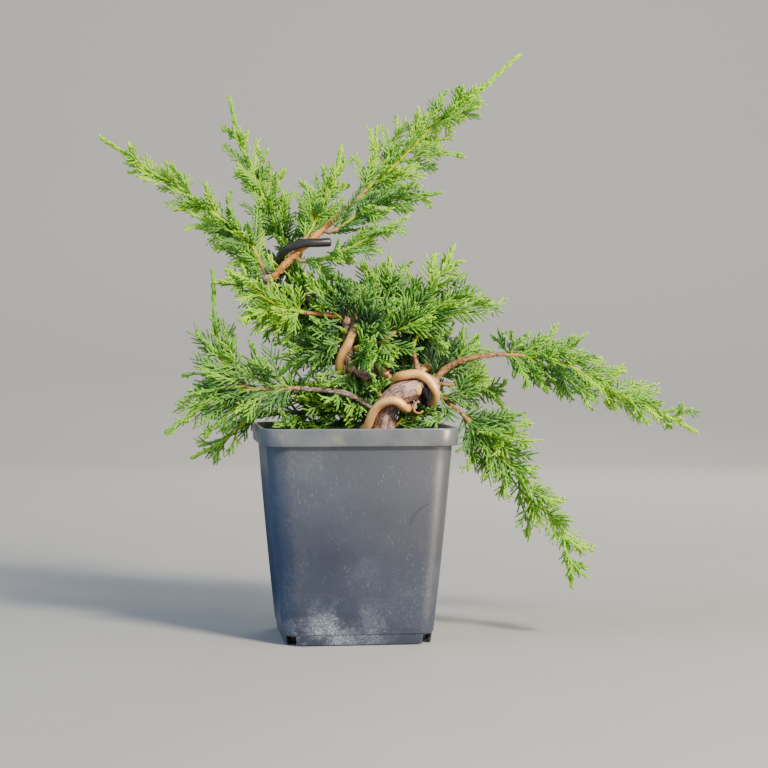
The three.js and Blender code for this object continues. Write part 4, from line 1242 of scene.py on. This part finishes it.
def cords_on(sprigs, habit, chance):
    """Two ranks of straight cords along each sprig, shorter towards its tip."""
    count = np.clip((sprigs.length / habit["cord_pitch"]).astype(int), 3, MOST_CORDS)
    number = np.arange(MOST_CORDS)[None] + 0 * count[:, None]
    t = 0.9 * (number + chance.uniform(0.45, 0.75, number.shape)) / count[:, None]
    real = number < count[:, None]
    t = np.clip(t, 0, 1)
    axis = sprigs.towards(t)
    flat_normal = unit(np.cross(sprigs.way, sprigs.bend))[:, None] + 0 * axis
    rank = np.where(number % 2 == 0, 1.0, -1.0)[..., None]
    side = np.cross(flat_normal, axis) * rank
    roll = chance.normal(0, 0.2, t.shape)[..., None]
    lean = np.radians(between(CORD_ANGLES, t) + chance.normal(0, 3.5, t.shape))[..., None]
    way = unit(axis * np.cos(lean) + np.sin(lean) * (side * np.cos(roll) + flat_normal * np.sin(roll)))
    length = habit["cord"] * (1.0 - habit["narrowing"] * t) * chance.uniform(0.78, 1.12, t.shape)
    length *= np.minimum(1, 0.6 + 2 * t)
    length = np.minimum(length, (0.85 - 0.5 * t) * sprigs.length[:, None])
    thick = habit["thick"] * chance.uniform(0.9, 1.1, t.shape)
    tone = sprigs.tone[:, None] + 0.14 * (t - 0.5) + chance.normal(0, 0.03, t.shape)
    return Growth(sprigs.at(t)[real], way[real], length[real], axis[real], thick[real], tone[real])


def points_on(cords, habit, chance):
    """Short side points along the outer part of the longer cords, in turn to the left and the right."""
    longer = cords.kept(cords.length > POINTED_FROM)
    shape = (len(longer.length), habit["points"])
    t = 0.3 + 0.55 * (np.arange(shape[1]) + chance.uniform(0.2, 0.8, shape)) / shape[1]
    axis = longer.towards(t)
    spin = chance.uniform(0, 2 * math.pi, (shape[0], 1)) + np.arange(shape[1]) * math.pi
    way = leaning(axis, POINT_ANGLE + 0 * t, spin)
    length = np.clip(0.26 * longer.length[:, None], *POINT_LENGTHS)
    length = length * chance.uniform(0.75, 1.1, shape) * (1.2 - 0.4 * t)
    flat = [values.reshape(-1, 3) for values in (longer.at(t), way)]
    thick = POINT_RADIUS + 0 * t.ravel()
    tone = np.repeat(longer.tone, shape[1]) + 0.04
    return Growth(*flat, length.ravel(), axis.reshape(-1, 3), thick, tone)


def scales_on(shoot, habit, chance, is_stem, bare):
    """Short cords pressed along the green part of a shoot, closest at its tip."""
    count = int(shoot.length * 0.8 / SCALE_PITCH)
    share = bare + (1 - bare) * np.sqrt((np.arange(count) + 0.5) / count)
    along = shoot.along(share)
    lean = np.radians(chance.uniform(14, 24, count) * (1.2 - 0.6 * share))
    longest = SCALE_LENGTHS[0 if is_stem else 1]
    left = 0.7 * (1 - share) * shoot.length + 0.8
    length = np.minimum(chance.uniform(0.55 * longest, longest, count), left)
    thick = habit["thick"] * 0.95 + 0 * share
    way = leaning(along, lean, np.arange(count) * GOLDEN_TURN)
    return Growth(shoot.at(share), way, length, along, thick, 0.85 * share)


def tone_of(points, share, chance_value):
    """From 0, deep green, to 1, the yellow-green of a growing tip. Tips of shoots are yellower with growth;
    foliage nearer the crown's middle is darker, which is painted shade.
    """
    core = np.linalg.norm((points - CROWN_MIDDLE) / CROWN_SHAPE, axis=-1) / CROWN_CORE
    return 0.25 + 0.33 * np.clip(core, 0, 1.5) / 1.5 + 0.3 * share**1.5 + chance_value


def without_tip_shoots(stem, shoots, tip):
    """A stem and its side shoots, but none within its slender tip."""
    return [stem] + [shoot for shoot in shoots if np.linalg.norm(shoot.points[0] - stem.points[-1]) > tip]


def twiglets_on(shoot, habit, chance, is_stem):
    """Longer sprigs all round a shoot, which fill the crown behind the outer ones."""
    bare_tip = habit["slender_tip"] if is_stem else 0
    count = max(1, int((shoot.length - bare_tip) / habit["twiglets"]))
    share = (np.arange(count) + chance.uniform(0.2, 0.7, count)) / count * (1 - bare_tip / shoot.length)
    left = (1 - share) * shoot.length - bare_tip
    longest = TWIGLET_LENGTH * (1.1 - (0.1 + habit["shortening"]) * share)
    length = np.minimum(longest, 0.5 * left + 4) * chance.uniform(0.7, 1.1, count)
    along = shoot.along(share)
    way = leaning(along, TWIGLET_ANGLE, chance.uniform(0, 2 * math.pi) + np.arange(count) * GOLDEN_TURN)
    return Growth(shoot.at(share), way, length, along, habit["thick"] * 1.2 + 0 * share, share)


def twig(start, way, along, reach):
    """A small shoot that bows towards the way its parent grows, or None where it would touch or hide one."""
    points = np.array([start, start + way * reach * 0.5, start + way * reach + along * reach * BOW])
    return Path(points) if allowed(points[None, 1:], SHOOT_TIP_RADIUS)[0] else None


def inner_twigs(name, first, last, pitch, facing, chance):
    """Twigs all round a limb that the foliage hides, or only on the side that it is seen from."""
    path, radius_at = limbs[name]
    count = int(path.length * (last - first) / pitch)
    for i in range(count):
        share = first + (last - first) * (i + chance.uniform(0.1, 0.9)) / count
        along = path.along(share)
        spin = math.pi / 2 + (-1) ** i * chance.uniform(0.6, 1.35) if facing else i * GOLDEN_TURN
        way = leaning(along, math.radians(chance.uniform(48, 72)), spin)
        start = path.at(share) + way * 0.8 * radius_at(share)
        yield twig(start, way, along, chance.uniform(*INNER_LENGTHS))


inner_chance = np.random.default_rng(77)
grown["inner"] = [shoot for limb in INNER_LIMBS for shoot in inner_twigs(*limb, inner_chance) if shoot]
grown_sprigs, grown_cords, grown_points = {}, {}, {}
for number, (name, paths) in enumerate(grown.items()):
    habit = dict(HABITS[MASSES[name][1] if name in MASSES else "crowded"])
    habit["slender_tip"] = SLENDER_TIPS.get(name, habit["slender_tip"])
    chance = np.random.default_rng(500 + number)
    stems = paths[:1] if name in MASSES else []
    if stems:
        paths = grown[name] = without_tip_shoots(paths[0], paths[1:], habit["slender_tip"])
    sprigs, cords = [], []
    for shoot in paths:
        is_stem = shoot in stems
        made = joined_growth([grow(shoot, habit, chance, is_stem) for grow in (sprigs_on, twiglets_on)])
        whole = chance.normal(PALER.get(name, 0), 0.07)
        made.tone = tone_of(made.root, made.tone, whole + chance.normal(0, 0.07, len(made.tone)))
        made = made.kept(made.free((0.45, 0.75, 1.0), 0.5))
        scales = scales_on(shoot, habit, chance, is_stem, BARE_SHARES.get(name, 0.35) if is_stem else 0.15)
        scales.tone = tone_of(scales.root, scales.tone, whole)
        sprigs.append(made)
        cords += [cords_on(made, habit, chance), scales]
    fine = joined_growth(cords)
    grown_sprigs[name] = joined_growth(sprigs)
    grown_cords[name] = fine.kept(fine.free((0.6, 1.0), 0.4))
    grown_points[name] = points_on(grown_cords[name], habit, chance)


CORD_SIDES = 3
STEM_SIDES = 6
RING_PITCH = 2.2


def rings_round(middles, ways, radii, sides, spin=0.0):
    """Rings of points round middles, square to the ways; middles is (..., 3)."""
    helper = np.where(np.abs(ways[..., 1:2]) < 0.9, (0.0, 1.0, 0.0), (1.0, 0.0, 0.0))
    first = unit(np.cross(ways, helper))
    second = np.cross(ways, first)
    angle = np.arange(sides) * 2 * math.pi / sides + np.asarray(spin)[..., None]
    ring = first[..., None, :] * np.cos(angle)[..., None] + second[..., None, :] * np.sin(angle)[..., None]
    return middles[..., None, :] + ring * np.asarray(radii)[..., None, None]


def tube_faces(rings, sides, closed_tip):
    """Triangles of one tube of rings, its last ring a single point if the tip is closed."""
    faces = [(0, j + 1, j) for j in range(1, sides - 1)]
    for i in range(rings - 1):
        for j in range(sides):
            a, b = i * sides + j, i * sides + (j + 1) % sides
            faces += [(a, b, b + sides), (a, b + sides, a + sides)]
    top = (rings - 1) * sides
    if closed_tip:
        faces += [(top + j, top + (j + 1) % sides, top + sides) for j in range(sides)]
    else:
        faces += [(top, top + j, top + j + 1) for j in range(1, sides - 1)]
    return np.array(faces)


def many_tubes(growth, stations, shares_of_thick):
    """Every axis of a growth as a pointed three-sided tube, all in one pair of arrays."""
    count = len(growth.length)
    t = np.tile(stations, (count, 1))
    middles, ways = growth.at(t), growth.towards(t)
    radii = growth.thick[:, None] * np.array(shares_of_thick)
    spin = growth.tone * 997
    rings = rings_round(middles, ways, radii, CORD_SIDES, spin[:, None])
    tips = growth.at(np.ones((count, 1)))
    places = np.concatenate([rings.reshape(count, len(stations) * CORD_SIDES, 3), tips], axis=1)
    faces = tube_faces(len(stations), CORD_SIDES, True)
    triangles = faces[None] + (np.arange(count) * places.shape[1])[:, None, None]
    return places.reshape(-1, 3), triangles.reshape(-1, 3)


def shoot_tube(path, first, last, start, end):
    """The stem of a shoot between two shares of its length."""
    count = max(3, int(path.length * (last - first) / RING_PITCH))
    share = np.linspace(first, last, count)
    radii = start + (end - start) * (share - first) / max(last - first, 1e-6)
    rings = rings_round(path.at(share), path.along(share), radii, STEM_SIDES)
    return rings.reshape(-1, 3), tube_faces(count, STEM_SIDES, False)


def stacked(parts):
    """Several (places, triangles) pairs as one."""
    starts = np.cumsum([0] + [len(places) for places, _ in parts[:-1]])
    places = np.concatenate([places for places, _ in parts])
    return places, np.concatenate([triangles + start for (_, triangles), start in zip(parts, starts)])


# The foliage is made in clumps, each of them in five tones.
CLUMPS = {
    "upper": ["leader_spray", "leader_mid", "leader_right", "leader_centre", "upper_left", "upper_middle"],
    "middle": [
        "middle_left", "middle_right", "bend_spray", "upper_back", "knot_spray", "centre_left",
        "centre_front",
    ],
    "inner": ["inner"],
    "left": ["left_low", "left_hanging", "low_centre", "back_left"],
    "right": ["right_upper", "right_low", "right_middle", "low_right", "back_right"],
}
TONES = {
    "deep": (0.0, (0.053, 0.125, 0.048)),
    "green": (0.28, (0.114, 0.266, 0.061)),
    "bright": (0.44, (0.18, 0.392, 0.06)),
    "fresh": (0.58, (0.256, 0.518, 0.048)),
    "tip": (0.76, (0.385, 0.65, 0.034)),
}
STEM_THICK, SHOOT_THICK, TWIG_THICK = 1.25, 0.8, 0.6
LONG_SHOOT = 24
SHOOT_WOOD = 0.06  # the share of a side shoot that is woody
LITTLE_WOOD = {"middle_left": 0.02}
leaf_scales, given, results = effect_group(
    "leaf_scales",
    [("Place", "place"), ("Leaf", "colour"), ("Bloom", "colour")],
    [("Colour", "colour"), ("Scales", "value")],
)
blotches = spread(leaf_scales, cloudy(leaf_scales, given["Place"], 420.0, 2.0), 0.4, 0.65, 0.0, 0.5)
cells = put(leaf_scales, "ShaderNodeTexVoronoi", {}, {"Vector": given["Place"], "Scale": 1100.0})
leaf_scales.links.new(mixed(leaf_scales, blotches, given["Leaf"], given["Bloom"]), results["Colour"])
leaf_scales.links.new(cells.outputs["Distance"], results["Scales"])


def leaf_material(name, colour):
    material, tree, shader, place = new_material(name, Specular_IOR_Level=0.14)
    bloom = tuple(min(1, 1.25 * part + 0.004) for part in colour)
    leaf = use_group(tree, leaf_scales, {"Place": place, "Leaf": (*colour, 1), "Bloom": (*bloom, 1)})
    gloss = spread(tree, leaf["Scales"], 0.0, 0.8, 0.42, 0.6)
    join_up(tree, shader, leaf["Colour"], gloss, leaf["Scales"], 0.35, 0.0002)
    return material


leaf_materials = {tone: leaf_material(f"{tone}_scale_leaves", colour) for tone, (_, colour) in TONES.items()}
stem_wood, tree, shader, place = new_material("orange_brown_stem", Specular_IOR_Level=0.3)
mottle = cloudy(tree, place, 500.0, 4.0)
bark_tone = mixed(tree, spread(tree, mottle, 0.35, 0.65), (0.3, 0.14, 0.05), (0.52, 0.3, 0.13))
join_up(tree, shader, bark_tone, spread(tree, mottle, 0.3, 0.7, 0.6, 0.8), mottle, 0.6, 0.0004)
stem_looks = {
    "wooden": (stem_wood, "young_bark"),
    "yellow": (leaf_material("yellow_stem", (0.41, 0.49, 0.012)), "foliage"),
    "green": (leaf_material("yellow_green_stem", (0.2, 0.36, 0.02)), "foliage"),
}


def stem_tubes(names):
    """The stems of some masses: woody at the foot, then yellow, or green on their side shoots."""
    tubes = {kind: [] for kind in stem_looks}
    for name in names:
        for order, path in enumerate(grown[name]):
            is_stem = order == 0 and name in MASSES
            thick = STEM_THICK if is_stem else SHOOT_THICK if path.length > LONG_SHOOT else TWIG_THICK
            wood = HABITS[MASSES[name][1]]["wood"] if is_stem else SHOOT_WOOD
            wood = LITTLE_WOOD.get(name, wood)
            turn = between((thick, SHOOT_TIP_RADIUS), wood)
            tubes["wooden"].append(shoot_tube(path, 0.0, wood, thick, turn))
            live = "yellow" if is_stem else "green"
            tubes[live].append(shoot_tube(path, wood, 0.99, turn, SHOOT_TIP_RADIUS * 0.6))
    return tubes


# Each kind of axis, with the stations along it and its radius there as shares of its thickness.
FINE_KINDS = (
    (grown_cords, (0.0, 0.85), (0.9, 0.85)),
    (grown_sprigs, (0.0, 0.35, 0.8), (1.1, 1.0, 0.8)),
    (grown_points, (0.0,), (1.0,)),
)
edges = [start for start, _ in TONES.values()][1:]
for clump, names in CLUMPS.items():
    growths = [joined_growth([kind[name] for name in names]) for kind, _, _ in FINE_KINDS]
    for order, tone in enumerate(TONES):
        parts = [
            many_tubes(growth.kept(np.digitize(growth.tone, edges) == order), stations, radii)
            for growth, (_, stations, radii) in zip(growths, FINE_KINDS)
        ]
        if not len(parts[0][0]):
            continue
        label = f"{clump}_{tone}_leaves"
        leaves = new_piece(label, joined_mesh(label, *stacked(parts)), leaf_materials[tone], "foliage")
        if tone == "bright" and names[0] in MASSES:
            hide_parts(*names)
    for kind, tubes in stem_tubes(names).items():
        if tubes:
            label = f"{clump}_{kind}_stems"
            new_piece(label, joined_mesh(label, *stacked(tubes)), *stem_looks[kind])

# Floor, lights and camera: a plain pale sweep, a warm soft key from the right and above, and cool
# fill from the left. The camera stands about 1.1 m away, a little above the middle of the plant.
FLOOR_DROP = 0.0005  # the floor is just under the container
floor_mesh = bpy.data.meshes.new("pale_sweep")
bm = bmesh.new()
near_edge = [bm.verts.new((x, -4, -FLOOR_DROP)) for x in (-6, 6)]
edges = [bm.edges.new(near_edge)]
for y, z in ((1.6, 0), (2.1, 0.12), (2.4, 0.5), (2.5, 1.0), (2.5, 4)):
    verts, edges = extruded(bm, edges)
    for vert in verts:
        vert.co.y = y
        vert.co.z = z - FLOOR_DROP
bmesh.ops.recalc_face_normals(bm, faces=bm.faces)
bm.to_mesh(floor_mesh)
bm.free()
floor_mesh.shade_smooth()
pale, tree, shader, place = new_material("pale_paper", Roughness=0.9, Specular_IOR_Level=0.2)
faint = spread(tree, cloudy(tree, place, 3.0), 0.3, 0.7)
back = spread(tree, axes_of(tree, place)[1], 0.1, 1.5)
paper = mixed(tree, faint, (0.35, 0.341, 0.326), (0.385, 0.375, 0.36))
join_up(tree, shader, mixed(tree, back, paper, (0.72, 0.67, 0.59)))
floor_mesh.materials.append(pale)
floor = new_object("pale_sweep", floor_mesh)

world = bpy.data.worlds.new("studio")
bpy.context.scene.world = world
world.use_nodes = True
sky = world.node_tree.nodes["Background"].inputs
sky["Color"].default_value = (0.52, 0.63, 0.82, 1)
sky["Strength"].default_value = 0.62


def soft_light(name, place, aim, size, watts, colour):
    """A square lamp that is aimed at a point."""
    data = bpy.data.lights.new(name, "AREA")
    data.size = size
    data.energy = watts
    data.color = colour
    lamp = new_object(name, data)
    lamp.location = place
    lamp.rotation_euler = (Vector(aim) - Vector(place)).to_track_quat("-Z", "Y").to_euler()
    return lamp


soft_light("key", (0.95, -1.2, 1.15), (0, 0, 0.16), 0.35, 71, (1.0, 0.92, 0.76))
soft_light("fill", (-1.35, -0.55, 0.6), (0, 0, 0.12), 1.2, 15, (0.46, 0.7, 1.0))
soft_light("kicker", (1.35, -0.5, 0.3), (0, 0, 0.1), 0.45, 7, (1.0, 0.93, 0.84))
sheen = soft_light("sheen", (1.1, -0.6, 0.14), (0, 0, 0.07), 0.26, 32, (1.0, 0.8, 0.62))
sheen.visible_diffuse = False
soft_light("rim", (0.4, 1.3, 1.0), (0, 0, 0.2), 0.8, 8, (1.0, 0.97, 0.92))

# A dark card out of the picture, seen only in the container's glossy left corner.
card_mesh = bpy.data.meshes.new("dark_card")
corners = [(x, y, z) for x, z in ((-0.6, 0.5), (-0.6, 0.002), (-0.066, 0.002)) for y in (-0.5, 1.2)]
card_mesh.from_pydata(corners, [], [(0, 1, 3, 2), (2, 3, 5, 4)])
dark, tree, shader, place = new_material("dark_cloth", Roughness=0.9, Specular_IOR_Level=0.1)
join_up(tree, shader, mixed(tree, cloudy(tree, place, 9.0), (0.034, 0.056, 0.105), (0.042, 0.068, 0.125)))
card_mesh.materials.append(dark)
card = new_object("dark_card", card_mesh)
card.visible_camera = False
card.visible_diffuse = False
card.visible_shadow = False

lens = bpy.data.cameras.new("camera")
lens.lens = 90.14
lens.sensor_width = 36
lens.clip_start = 0.05
camera = new_object("camera", lens)
camera.location = (EYE[0] * MM, -FRONT * MM, EYE[1] * MM)
camera.rotation_euler = (math.radians(90 - 1.15), 0, 0)  # tipped down a little
bpy.context.scene.camera = camera
